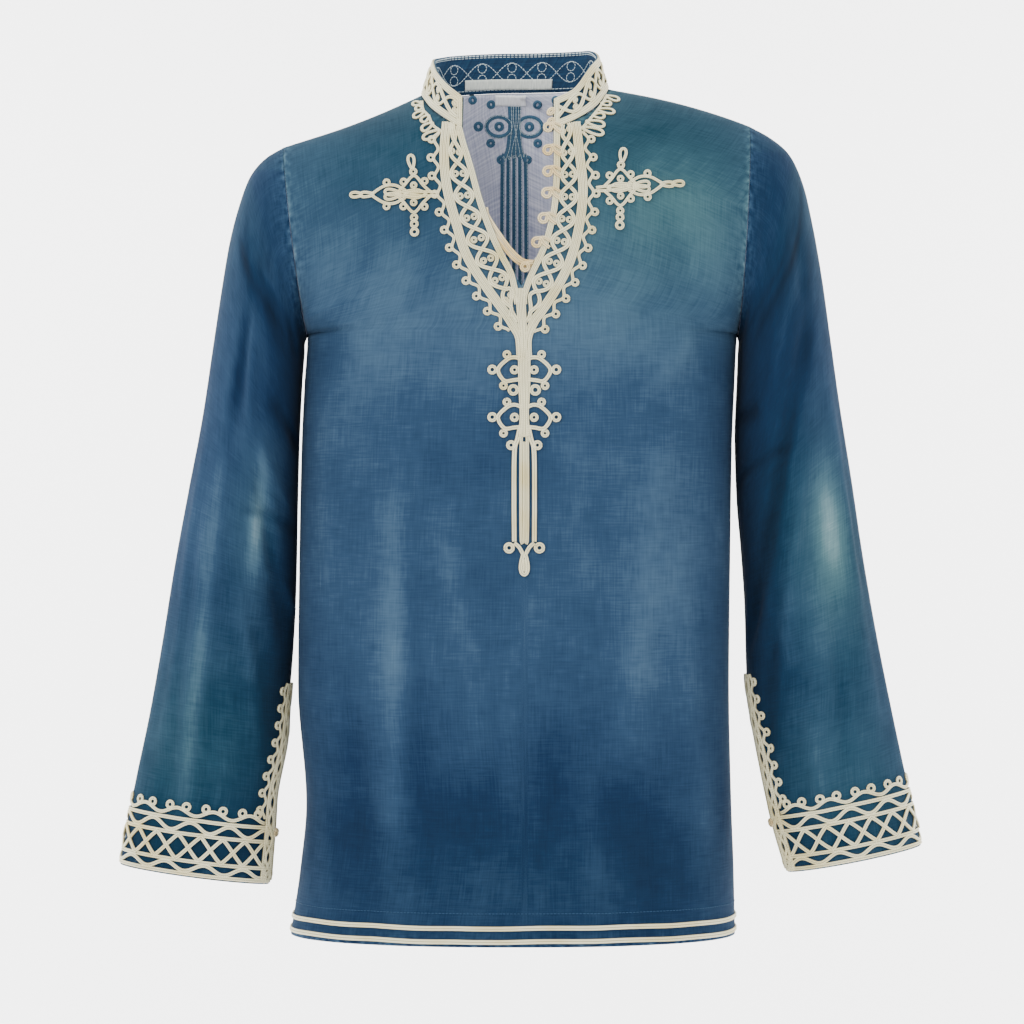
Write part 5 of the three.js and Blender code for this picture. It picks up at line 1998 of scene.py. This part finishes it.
@dataclass
class NeckBraid:
    """The braid round the V slit: rails, crossing cords with rings, and a picot edge."""

    ground: Ground
    finishes: Finishes
    pitch: float = 18.5
    picot_pitch: float = 15.0
    picot_off: float = 11.0

    def side(self, work: Couching, side: Side) -> None:
        """Lays one side of the V.

        Args:
            work: What it is laid in.
            side: The side.
        """
        out = side.value
        slit = slit_line(side)
        outer = curve(V_RAILS[side])
        for n, off in enumerate((1.5, 1.5 + RAIL_PITCH)):
            edge = beside(slit, out * off)
            foot = [[SLIT_X + out * (off + 0.6), SLIT_FOOT - 8], [SLIT_X + 0.6 + out * off, SLIT_FOOT - 15]]
            work.lay(curve(np.vstack([edge[::6], foot]), 2.0), RAIL, 0.1 + 0.1 * n)
        for off in (-RAIL_PITCH, 0.0, RAIL_PITCH):
            rail = beside(outer, out * off)
            knee = [STEM_X - 0.6 + out * (3.6 + off * 0.8), -211]
            foot = [STEM_X + out * (3.2 + off * 0.72), -227]
            work.lay(curve(np.vstack([rail[:-3:6], knee, foot]), 1.8), RAIL, 0.35 if off == 0 else 0.15)
        band_a = beside(np.vstack([slit, [[SLIT_X + out * 1.5, SLIT_FOOT - 26]]]), out * 6.8)
        band_b = beside(outer[: int(len(outer) * 0.97)], -out * 5.0)
        first, second, high, lenses = waves(band_a, band_b, self.pitch, 5.0)
        work.lay(first[::3], BRAID, 0.1 + OVER * high[::3])
        work.lay(second[::3], BRAID, 0.1 + OVER * (1 - high[::3]))
        for lens in lenses[:-1]:
            work.pair(lens, 3.2, 1.95, Soft(2.3, 1.4))
        work.edging(outer[6:-3], out * self.picot_off, self.picot_pitch)

    def collar_edge(self, work: Couching, side: Side) -> None:
        """Lays the loops that hang below the collar's seam, longer towards the front.

        Args:
            work: What they are laid in.
            side: The side.
        """
        work.lay(curve(SEAM_CORD[side], 1.2), FINE, 0.1)
        for n, (x0, z0, x1, z1) in enumerate(SEAM_LOOPS[side]):
            way = math.degrees(math.atan2(z1 - z0, x1 - x0))
            work.lay(teardrop([x0, z0], way, math.hypot(x1 - x0, z1 - z0), 5.0 + 0.2 * n), FINE, 0.3)

    def build(self) -> None:
        """Lays the whole neck, then the button loops in their own finish."""
        work = Couching("neck_braid", self.ground, self.finishes.braid)
        for side in Side:
            self.side(work, side)
            self.collar_edge(work, side)
        for off in (-RAIL_PITCH, 0.0, RAIL_PITCH):
            strip = [[SLIT_X + off, SLIT_FOOT - 2], [SLIT_X + 1.0 + off, -188]]
            strip += [[STEM_X - 1.0 + off * 0.8, -206], [STEM_X + off * 0.5, -228.5]]
            work.lay(curve(strip, 1.8), RAIL, 0.7)
        work.build("braid_neck")
        loops = Couching("button_loops", self.ground, self.finishes.loops, 0.3)
        for n, z in enumerate(LOOP_HEIGHTS):
            x = float(SLIT.read("z", "right", z))
            radius = 3.3 if n else 2.8
            line = [[x + 6, z - 4.4], [x + 1.5, z - 1.0], [x - 1.2, z + radius - 0.4], [x - 4.6, z + radius]]
            for a in (2.4, 3.4, 4.4, 5.4, 6.6):
                line.append([x - 4.6 + radius * math.cos(a), z + radius * math.sin(a)])
            loops.lay(curve(line, 1.0), Soft(3.3, 2.1), 0.6)
            end = [[x - 3.5, z + radius + 0.2], [x + 1.5, z + radius + 0.6], [x + 6.5, z + 1]]
            loops.lay(curve(end, 1.2), FINE, 1.2)
        loops.build()


@dataclass
class StemBraid:
    """The braid below the V: a bundle, two knots with rings, and a long pendant with a drop."""

    ground: Ground
    finishes: Finishes
    knots: tuple[float, float] = (-237.0, -276.0)

    def spot(self, x: float, z: float, out: float = 1.0) -> list[float]:
        """A point measured from the stem's middle."""
        return [STEM_X + out * x, z]

    def path(self, points: Sequence[Sequence[float]], out: float = 1.0, step: float = 1.8) -> Array:
        """A smooth line through points measured from the stem's middle."""
        return curve([self.spot(x, z, out) for x, z in points], step)

    def knot(self, work: Couching, z: float, out: float) -> None:
        """Lays half a knot: an angular loop with three rings outside it and one within.

        Args:
            work: What it is laid in.
            z: Its middle's height.
            out: The side.
        """
        loop = [[2.0, 8.2], [7.5, 10.3], [13.8, 8.6], [21.4, 0.2], [16.4, -8.8], [8.6, -8.4], [2.0, -7.6]]
        work.lay(self.path([(x, z + dz) for x, dz in loop], out, 1.2), BRAID, 0.25)
        for x, dz in ((14.2, 12.6), (26.2, 0.2), (17.0, -13.0)):
            work.ring(self.spot(x, z + dz, out), 2.3 if x < 20 else 2.8, KNOT_RING, 0.4)
        work.ring(self.spot(8.0, z, out), 2.5, KNOT_RING, 0.4)

    def build(self) -> None:
        """Lays the stem."""
        work = Couching("stem_braid", self.ground, self.finishes.braid)
        for out in (-1.0, 1.0):
            for z in self.knots:
                self.knot(work, z, out)
            work.ring(self.spot(9.0, -253.5, out), 3.3, Soft(3.0, 1.6), 0.3)
            work.ring(self.spot(10.8, -298.8, out), 2.7, Soft(2.9, 1.5), 0.3)
            side = [[3.4, -284], [5.6, -294], [8.0, -304], [8.4, -340], [8.2, -378]]
            work.lay(self.path(side, out), PENDANT, 0.15)
            work.ring(self.spot(12.4, -383.0, out), 3.1, Soft(3.2, 1.6), 0.35)
            work.lay(self.path([[8.2, -379], [4.2, -382.5], [1.2, -388]], out, 1.2), BRAID, 0.5)
            bundle = [[3.8, -227], [3.7, -246], [3.0, -262], [2.5, -272], [3.0, -284], [3.4, -292]]
            work.lay(self.path(bundle, out), RAIL, 0.6)
            work.lay(self.path([(x * 0.34, z) for x, z in bundle], out), RAIL, 0.75)
            strip = [[1.4, -290], [2.6, -300], [2.6, -372], [1.2, -378.5]]
            work.lay(self.path(strip, out), RAIL, 0.2)
        work.lay(self.path([[0, -296], [0, -379]]), RAIL, 0.35)
        work.lay(teardrop(self.spot(0, -387.0), -90, 18.0, 6.6), BRAID, 0.5)
        work.lay(self.path([[0, -392.0], [0, -402.5]], step=1.2), FINE, 0.45)
        work.build("braid_stem")


@dataclass
class Spray:
    """A cross-shaped spray beside the V, seen along its own axis: a runs outwards and b runs up."""

    ground: Ground
    finishes: Finishes
    side: Side

    def put(self, points: Sequence[Sequence[float]]) -> Array:
        """Points of the spray in the front view."""
        x, z, rise = {Side.LEFT: (-84, -91.5, 0.0), Side.RIGHT: (84, -86, 0.09)}[self.side]
        given = np.array(points, float)
        return np.stack([x + self.side.value * given[:, 0], z + given[:, 1] + rise * given[:, 0]], axis=-1)

    def spot(self, a: float, b: float) -> Array:
        """One point of the spray in the front view."""
        return self.put([[a, b]])[0]

    def path(self, points: Sequence[Sequence[float]], step: float = 1.1) -> Array:
        """A smooth line through points of the spray."""
        return curve(self.put(points), step)

    def turned(self, way: float) -> float:
        """A direction of the spray in the front view, in degrees."""
        return way if self.side is Side.RIGHT else 180 - way

    def build(self) -> None:
        """Lays the spray."""
        work = Couching(f"spray_{self.side.word}", self.ground, self.finishes.braid)
        for off in (-1.7, 1.7):
            work.lay(self.path([[-19, off * 0.8], [-8, off], [4, off * 0.5], [10, 0]], 1.2), RAIL, 0.3)
        for up in (-1.0, 1.0):
            diamond = [[-13, 1.2 * up], [-7, 6.8 * up], [1.0, 15.2 * up], [9.2, 7.0 * up], [14.0, 1.5 * up]]
            work.lay(self.path(diamond), FINE, 0.45)
            work.lay(self.path([[-10, 0], [-2, 3.2 * up], [6, 2.4 * up], [15, 0.4 * up]]), FINE, 0.7)
            work.lay(self.path([[8, 3 * up], [17, 7.4 * up], [26, 6.6 * up], [36, 0.6 * up]]), FINE, 0.4)
            work.lay(teardrop(self.spot(12, 0.6 * up), self.turned(8 * up), 13, 5.4), FINE, 0.5)
            for a, b in ((-7.8, 10.6), (9.6, 10.2), (23.5, 9.8)):
                work.ring(self.spot(a, b * up), 2.2, SMALL_RING, 0.5)
            work.ring(self.spot(1.2, 7.2 * up), 2.0, SMALL_RING, 0.6)
        work.ring(self.spot(1.6, 18.6), 2.2, FINE, 0.45)
        work.lay(teardrop(self.spot(2.4, 21.0), self.turned(82), 11.5, 5.6), FINE, 0.45)
        hanging = ((0.8, -19.4, 2.2, 0.45), (0.6, -24.8, 2.4, 0.55), (0.4, -31.4, 2.7, 0.45))
        for a, b, radius, lift in hanging:
            work.ring(self.spot(a, b), radius, FINE, lift)
        work.lay(teardrop(self.spot(34.0, 0.2), self.turned(0), 11.5, 4.2), FINE, 0.5)
        work.lay(teardrop(self.spot(43.5, 0.2), self.turned(0), 10.0, 4.4), FINE, 0.6)
        work.build(f"braid_chest_{self.side.word}")


# ---- the back
# Rings of the back's motif: distance from its middle, height, radius.
BACK_RINGS = [
    [31.4, -17.6, 2.8],
    [13.2, -17.4, 2.8],
    [20.6, -31.4, 2.4],
    [11.6, -45.4, 2.4],
    [15.6, -190, 2.4],
    [36.4, 3.4, 2.4],
    [20.4, 0.6, 2.4],
]


@dataclass
class BackMotif:
    """The motif down the middle of the back, and its reverse that shows inside."""

    ground: Ground
    finishes: Finishes
    strips: tuple[float, ...] = (-10.2, -5.1, 0.0, 5.1, 10.2)
    middle: float = -2.3

    def lines(self) -> list[Array]:
        """The motif's lines."""
        x = self.middle
        found: list[Array] = []
        for n, off in enumerate(self.strips):
            cross = -off if n in (1, 3) else off
            run = [[x + cross * 0.4, 3], [x + cross * 0.34, -14], [x + off * 0.5, -34], [x + off * 0.8, -44]]
            found.append(curve([*run, [x + off, -54], [x + off, -190], [x + off * 0.5, -203]], 2.0))
        for out in (-1, 1):
            angles = np.linspace(0, 2 * math.pi, 15)[:-1]
            eye = [[x + out * (13.6 + 10.6 * math.cos(a)), -17.6 + 8.2 * math.sin(a)] for a in angles]
            found.append(curve(eye, 1.2, closed=True))
        return found

    def spots(self) -> list[tuple[list[float], float]]:
        """The motif's rings: middle and radius."""
        found = []
        for out in (-1, 1):
            for x, z, radius in BACK_RINGS:
                found.append(([self.middle + out * x, z], radius))
        return found

    def build(self) -> None:
        """Lays the braid outside, and strips with their stitching inside."""
        outside = Couching("back_braid", self.ground, self.finishes.braid)
        inside = Couching("back_reverse_strips", self.ground, self.finishes.reverse, -CLOTH - 0.05)
        sewing = Couching("back_reverse_stitching", self.ground, self.finishes.thread, -CLOTH - 0.75)
        for line in self.lines():
            outside.lay(line, BRAID, 0.3)
            inside.lay(line, Soft(3.6, 0.7, 1), 0.0)
            sewing.stitch(beside(line, 1.25), 2.6, 0.5, Soft(0.5, 0.3, 1))
        for middle, radius in self.spots():
            outside.ring(middle, radius, FINE, 0.4)
            inside.ring(middle, radius, Soft(3.2, 0.9, 1), 0.1)
        outside.lay(teardrop([self.middle, -202], -90, 16, 6.4), BRAID, 0.4)
        outside.build("braid_back")
        inside.build()
        sewing.build()


def dashes(line: Array, stitch: float, gap: float) -> list[Array]:
    """A line cut into stitches.

    Args:
        line: The line.
        stitch: A stitch's length.
        gap: The gap after it.

    Returns:
        A short line for each stitch.
    """
    total = length_of(line)
    count = max(1, int(total / (stitch + gap)))
    found = []
    for n in range(count):
        start = n / count
        found.append(walk(line, np.linspace(start, start + stitch / (stitch + gap) / count, 3)))
    return found


# ---- the collar
@dataclass
class CollarBraid:
    """The collar's braid outside, and the same pattern in white stitching on its facing."""

    ground: CollarGround
    finishes: Finishes
    pitch: float = 26.5
    facing: float = -1.5

    def pattern(self) -> tuple[Array, Array, Array, Array]:
        """The two waves between the rails."""
        length = self.ground.length
        low = even(np.array([[5.0, 8.2], [length - 5.0, 8.2]]), 2.0)
        high = even(np.array([[5.0, 25.2], [length - 5.0, 25.2]]), 2.0)
        return waves(low, high, self.pitch, 4.0)

    def build(self) -> None:
        """Lays the braid and the stitching."""
        length = self.ground.length
        work = Couching("collar_braid", self.ground, self.finishes.braid)
        first, second, _, lenses = self.pattern()
        work.lay(even(first, 1.4), BRAID, 0.4)
        work.lay(even(second, 1.4), BRAID, 0.75)
        for v in (1.6, 3.9, 6.2, 27.0, 29.3, 31.6):
            work.lay(even(np.array([[1.4, v], [length - 1.4, v]]), 2.2), Soft(2.35, 1.5), 0.2)
        for u in (1.8, 4.6, length - 4.6, length - 1.8):
            work.lay(even(np.array([[u, 1.5], [u, 31.5]]), 2.0), RAIL, 0.3)
        for lens in lenses:
            work.pair(lens, 3.4, 2.0, Soft(2.4, 1.5))
        work.build("braid_collar")
        loops = Couching("collar_loops", self.ground, self.finishes.loops, 0.2)
        for v in COLLAR_LOOPS:
            loops.ring([length + 2.6, v], 2.7, Soft(3.0, 2.0), 0.4)
        loops.build()
        sewing = Couching("collar_facing_stitching", self.ground, self.finishes.thread, self.facing - 0.02)
        for line in (first, second):
            sewing.stitch(even(line, 1.0), 1.9, 0.8)
        for lens in lenses:
            way = lens[2:] / np.linalg.norm(lens[2:])
            for sign in (-1, 1):
                sewing.stitch(circle(lens[:2] + way * sign * 4.6, 3.8), 1.6, 0.6)
        for v in (3.0, 30.0, 31.6):
            thread = Soft(1.0, 0.5, 1) if v > 31 else STITCH
            sewing.stitch(np.array([[2.0, v], [length - 2.0, v]]), 2.4, 1.0, thread)
        sewing.build()


# ---- the cuffs
CUFF_RAILS = (2.8, 13.5, 36.0, 48.0)


@dataclass
class CuffBraid:
    """A cuff's braid: four rails, long waves, a lattice, a picot edge, and the trim of its slit."""

    ground: CuffGround
    finishes: Finishes
    side: Side
    lattice_pitch: float = 18.8
    wave_pitch: float = 16.5

    def level(self, v: float, inset: float = 0.9) -> Array:
        """A line round the cuff at one height."""
        reach = float(self.ground.edge(v)) - inset
        return even(np.array([[-reach, v], [reach, v]]), 2.0)

    def long_wave(self, work: Couching, low: float, high: float, shift: float) -> None:
        """Lays one long wave between two rails.

        Args:
            work: What it is laid in.
            low: The lower rail's height.
            high: The upper rail's height.
            shift: Half waves that it is moved by.
        """
        line = self.level((low + high) / 2, 3.0)
        along = line[:, 0] / self.wave_pitch
        reach = (high - low) / 2 - 2.2
        height = (low + high) / 2 + reach * np.sin(math.pi * (along + shift))
        work.lay(curve(np.stack([line[:, 0], height], axis=-1), 1.5), BRAID, 0.25)

    def trim(self, work: Couching, out: float) -> None:
        """Lays the trim up one edge of the slit.

        Args:
            work: What it is laid in.
            out: The sign of the edge: 1 on the front.
        """
        v = np.linspace(1.5, CUFF_SLIT - 1, 70)
        edge = np.stack([out * self.ground.edge(v), v], axis=-1)
        lines = {off: edge - [out * off, 0] for off in (2.0, 11.6)}
        for line in lines.values():
            work.lay(even(line, 1.8), BRAID, 0.3)
        first, second, _, _ = waves(edge - [out * 3.6, 0], edge - [out * 10.2, 0], 15.5, 6.0)
        work.lay(even(first, 1.5), FINE, 0.5)
        work.lay(even(second, 1.5), FINE, 0.85)
        free = lines[11.6][22:]
        work.edging(free, out * 8.6, 15.0, 2.5)
        foot = [out * (float(self.ground.edge(6.5)) - 5.6), 6.8]
        work.ring(foot, 3.0, Soft(3.4, 1.7), 0.9)

    def build(self) -> None:
        """Lays the cuff."""
        work = Couching(f"cuff_braid_{self.side.word}", self.ground, self.finishes.braid)
        for v in CUFF_RAILS:
            work.lay(self.level(v), BRAID, 0.1)
        self.long_wave(work, CUFF_RAILS[2], CUFF_RAILS[3], 0.0)
        self.long_wave(work, CUFF_RAILS[0], CUFF_RAILS[1], 1.0)
        low, high = self.level(CUFF_RAILS[1] + 1.4, 13.0), self.level(CUFF_RAILS[2] - 1.4, 13.0)
        count = round(length_of(low) / self.lattice_pitch)
        for first in (0, 1):
            parts = np.arange(count + 1) / count
            ends = [walk(high if (n + first) % 2 else low, [part])[0] for n, part in enumerate(parts)]
            corners = []
            for n, end in enumerate(ends):
                inward = -1.6 if (n + first) % 2 else 1.6
                corners += [[end[0] - 2.1, end[1] + inward], [end[0] + 2.1, end[1] + inward]]
            work.lay(curve(corners, 1.5), BRAID, 0.3 + 0.6 * first)
        top = self.level(CUFF_RAILS[3] + 1.0, 14.0)
        along = np.linspace(0, 1, len(top))
        crests = round(length_of(top) / 31.0)
        swell = 5.4 * np.sin(math.pi * crests * along) ** 2
        line = top + np.stack([0 * swell, 2.6 + swell], axis=-1)
        work.lay(even(line, 1.6), Soft(3.0, 1.5), 0.15)
        for n in range(crests):
            for share in (0.27, 0.73):
                work.ring(walk(line, [(n + share) / crests])[0] + [0, 4.0], 2.75, KNOT_RING, 0.3)
        for out in (-1.0, 1.0):
            self.trim(work, out)
        work.build(f"braid_cuff_{self.side.word}")
        knob = Couching(f"cuff_loop_{self.side.word}", self.ground, self.finishes.loops, 0.3)
        knob.ring([float(self.ground.edge(44)) + 2.2, 44.0], 2.6, Soft(3.2, 2.2), 0.4)
        knob.build()


# ---- the hem
@dataclass
class HemGround(Ground):
    """The hem of a panel: flat points are the distance round it and the height above its edge."""

    form: Form
    face: Face

    def __post_init__(self) -> None:
        """Measures the panel's hem at a few heights."""
        self.way = 1.0 if self.face is Face.FRONT else -1.0
        spans = np.linspace(0, 1, 91)
        self.heights = np.linspace(0, 45, 10)
        rows = []
        for height in self.heights:
            level = height / (ARMHOLES[Side.LEFT].low_z - HEM_Z) - 1
            left, right = (self.form.panel_row(self.face, side, level, spans) for side in Side)
            rows.append(np.vstack([left[::-1], right[1:]]))
        self.rows = np.array(rows)
        around = travelled(self.rows[0])
        self.around = around - around[len(spans) - 1]

    def place(self, flat: Array) -> Array:
        """Points of the hem between the measured heights.

        Args:
            flat: Distance round and height above the edge.

        Returns:
            The points.
        """
        out = np.zeros((len(flat), 3))
        last = len(self.heights) - 1
        place = np.clip(flat[:, 1] / self.heights[-1] * last, -0.5, last)
        low = np.clip(np.floor(place).astype(int), 0, last - 1)
        for axis in range(3):
            for k, (u, n) in enumerate(zip(flat[:, 0], low)):
                lower, upper = (np.interp(u, self.around, self.rows[m, :, axis]) for m in (n, n + 1))
                out[k, axis] = mix(lower, upper, place[k] - n)
        return out


@dataclass
class HemBraid:
    """Two braids and a line of stitching round the hem of one panel."""

    form: Form
    face: Face
    finishes: Finishes
    heights: tuple[tuple[str, float], ...] = (("upper", 15.5), ("lower", 4.6))
    stitched: float = 27.5

    def build(self) -> None:
        """Lays both braids and the stitching."""
        ground = HemGround(self.form, self.face)
        low, high = ground.around[0] + 2.5, ground.around[-1] - 2.5
        name = self.face.word
        for level, v in self.heights:
            work = Couching(f"hem_{name}_{level}", ground, self.finishes.braid)
            line = even(np.array([[low, v], [high, v]]), 2.4)
            line[:, 1] += 0.35 * np.sin(line[:, 0] / 37) + 0.2 * np.sin(line[:, 0] / 11)
            work.lay(line, HEM, 0.05)
            work.build(f"hem_braid_{name}_{level}")
        sewing = Couching(f"hem_{name}_stitching", ground, self.finishes.seam, 0.02)
        sewing.stitch(np.array([[low, self.stitched], [high, self.stitched]]), 2.2, 0.8)
        sewing.build(slot="washed_cloth")


# ---- what lies inside
@dataclass(frozen=True)
class FlatStrip:
    """A flat woven strip laid on a ground.

    Args:
        name: The piece's name.
        line: Its middle line, flat.
        width: Its width.
        thickness: Its thickness.
        base: The height of its back above the cloth's outer side; below 0 on its wrong side.
    """

    name: str
    line: Array
    width: float
    thickness: float
    base: float

    def build(self, ground: Ground, finish: Material, slot: str, *nodes: str) -> Piece:
        """Makes the strip as a grid with a wall.

        Args:
            ground: What it lies on.
            finish: Its material.
            slot: Not used; it is passed on to dress, which ignores it.
            nodes: The nodes that it stands for.

        Returns:
            The piece.
        """
        columns = 7
        across = np.linspace(-0.5, 0.5, columns) * self.width
        lifts = np.interp(np.abs(across), [0, self.width * 0.42, self.width * 0.5], [0.35, 0.3, 0.0])
        flip = -1.0 if self.base < 0 else 1.0
        grid, flats = [], []
        run = travelled(self.line)
        for off, lift in zip(across, lifts):
            spots, _ = ground.frame(beside(self.line, off), self.base + flip * (lift + self.thickness))
            grid.append(spots)
            flats.append(stack(run, off + 0 * run))
        turned = (ground.way * flip) > 0
        cloth = Cloth(self.name, [np.array(grid)], [np.array(flats)], self.thickness, not turned)
        piece = cloth.build(finish, finish, {"edge": edge_mark(cloth, 2.0)})
        return dress(piece, slot, *nodes)


# Left end, right end, lower edge and upper edge: the label's along the collar, the tab's on the back.
LABEL = (152.0, 231.0, 3.0, 11.6)
TAB = (-19.0, 8.0, -0.5, 8.0)
PLACKET = [
    [-27.5, -103],
    [-25.5, -111],
    [-14.5, -128],
    [-4.5, -141],
    [4.8, -148.5],
    [14.5, -149.5],
    [21, -142],
]


@dataclass
class InsideWork:
    """The two blank labels and the strip under the slit's left edge."""

    front: Ground
    back: Ground
    collar: CollarGround
    finishes: Finishes

    def build(self) -> list[Piece]:
        """Makes the label, the tab and the placket's strip."""
        left, right, low, high = LABEL
        middle = (low + high) / 2
        line = even(np.array([[left, middle + 0.6], [right, middle - 0.4]]), 1.6)
        label = FlatStrip("blank_neck_label", line, high - low, 0.5, -1.75)
        left, right, low, high = TAB
        middle = (low + high) / 2
        line = even(np.array([[left, middle], [right, middle]]), 1.6)
        tab = FlatStrip("blank_size_tab", line, high - low, 0.5, -1.2)
        placket = FlatStrip("placket_tape", curve(PLACKET, 2.0), 7.0, 0.8, -1.25)
        made = [
            label.build(self.collar, self.finishes.label, "label", "neck_label"),
            tab.build(self.back, self.finishes.tab, "label", "size_tab"),
            placket.build(self.front, self.finishes.tape, "strip", "placket_strip"),
        ]
        self.sewing()
        return made

    def sewing(self) -> None:
        """Sews the placket tape along both its edges, under two cords and a knot of braid."""
        cords = Couching("placket_cords", self.front, self.finishes.loops, -1.1)
        for off in (-1.9, 1.9):
            cords.lay(beside(curve(PLACKET[:-1], 1.8), off), Soft(3.2, 0.5))
        cords.build(slot="strip")
        knot = Couching("placket_knot", self.front, self.finishes.loops, 0.4)
        knot.ring([6.4, -152.5], 2.9, Soft(3.2, 2.0), 1.4)
        knot.lay(curve([[1, -147], [6, -149.2], [13, -148.8]], 1.2), Soft(3.0, 1.8), 1.2)
        knot.build(slot="strip")
        work = Couching("placket_stitching", self.front, self.finishes.seam, -2.45)
        for off in (-2.6, 2.6):
            work.stitch(beside(curve(PLACKET, 1.5), off), 2.0, 0.8)
        work.build(slot="strip")


def main() -> None:
    """Builds the shirt in order, then the stage."""
    logging.basicConfig(level=logging.INFO, format="%(name)s %(message)s")
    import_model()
    bpy.ops.object.select_all(action="DESELECT")
    form = Form()
    finishes = Finishes()
    front, front_cloth = BodyPanel(form, Face.FRONT).build(finishes)
    back, back_cloth = BodyPanel(form, Face.BACK).build(finishes)
    sleeves = [Sleeve(form, side).build(finishes) for side in Side]
    collar = StandCollar(form).build(finishes)
    front_ground = PanelGround(front_cloth, Face.FRONT)
    back_ground = PanelGround(back_cloth, Face.BACK)
    collar_ground = CollarGround(form)
    NeckBraid(front_ground, finishes).build()
    StemBraid(front_ground, finishes).build()
    for side in Side:
        Spray(front_ground, finishes, side).build()
        CuffBraid(CuffGround(form, side), finishes, side).build()
    BackMotif(back_ground, finishes).build()
    CollarBraid(collar_ground, finishes).build()
    for face in Face:
        HemBraid(form, face, finishes).build()
    label, tab, placket = InsideWork(front_ground, back_ground, collar_ground, finishes).build()
    Stage().build()


if __name__ == "__main__":
    main()
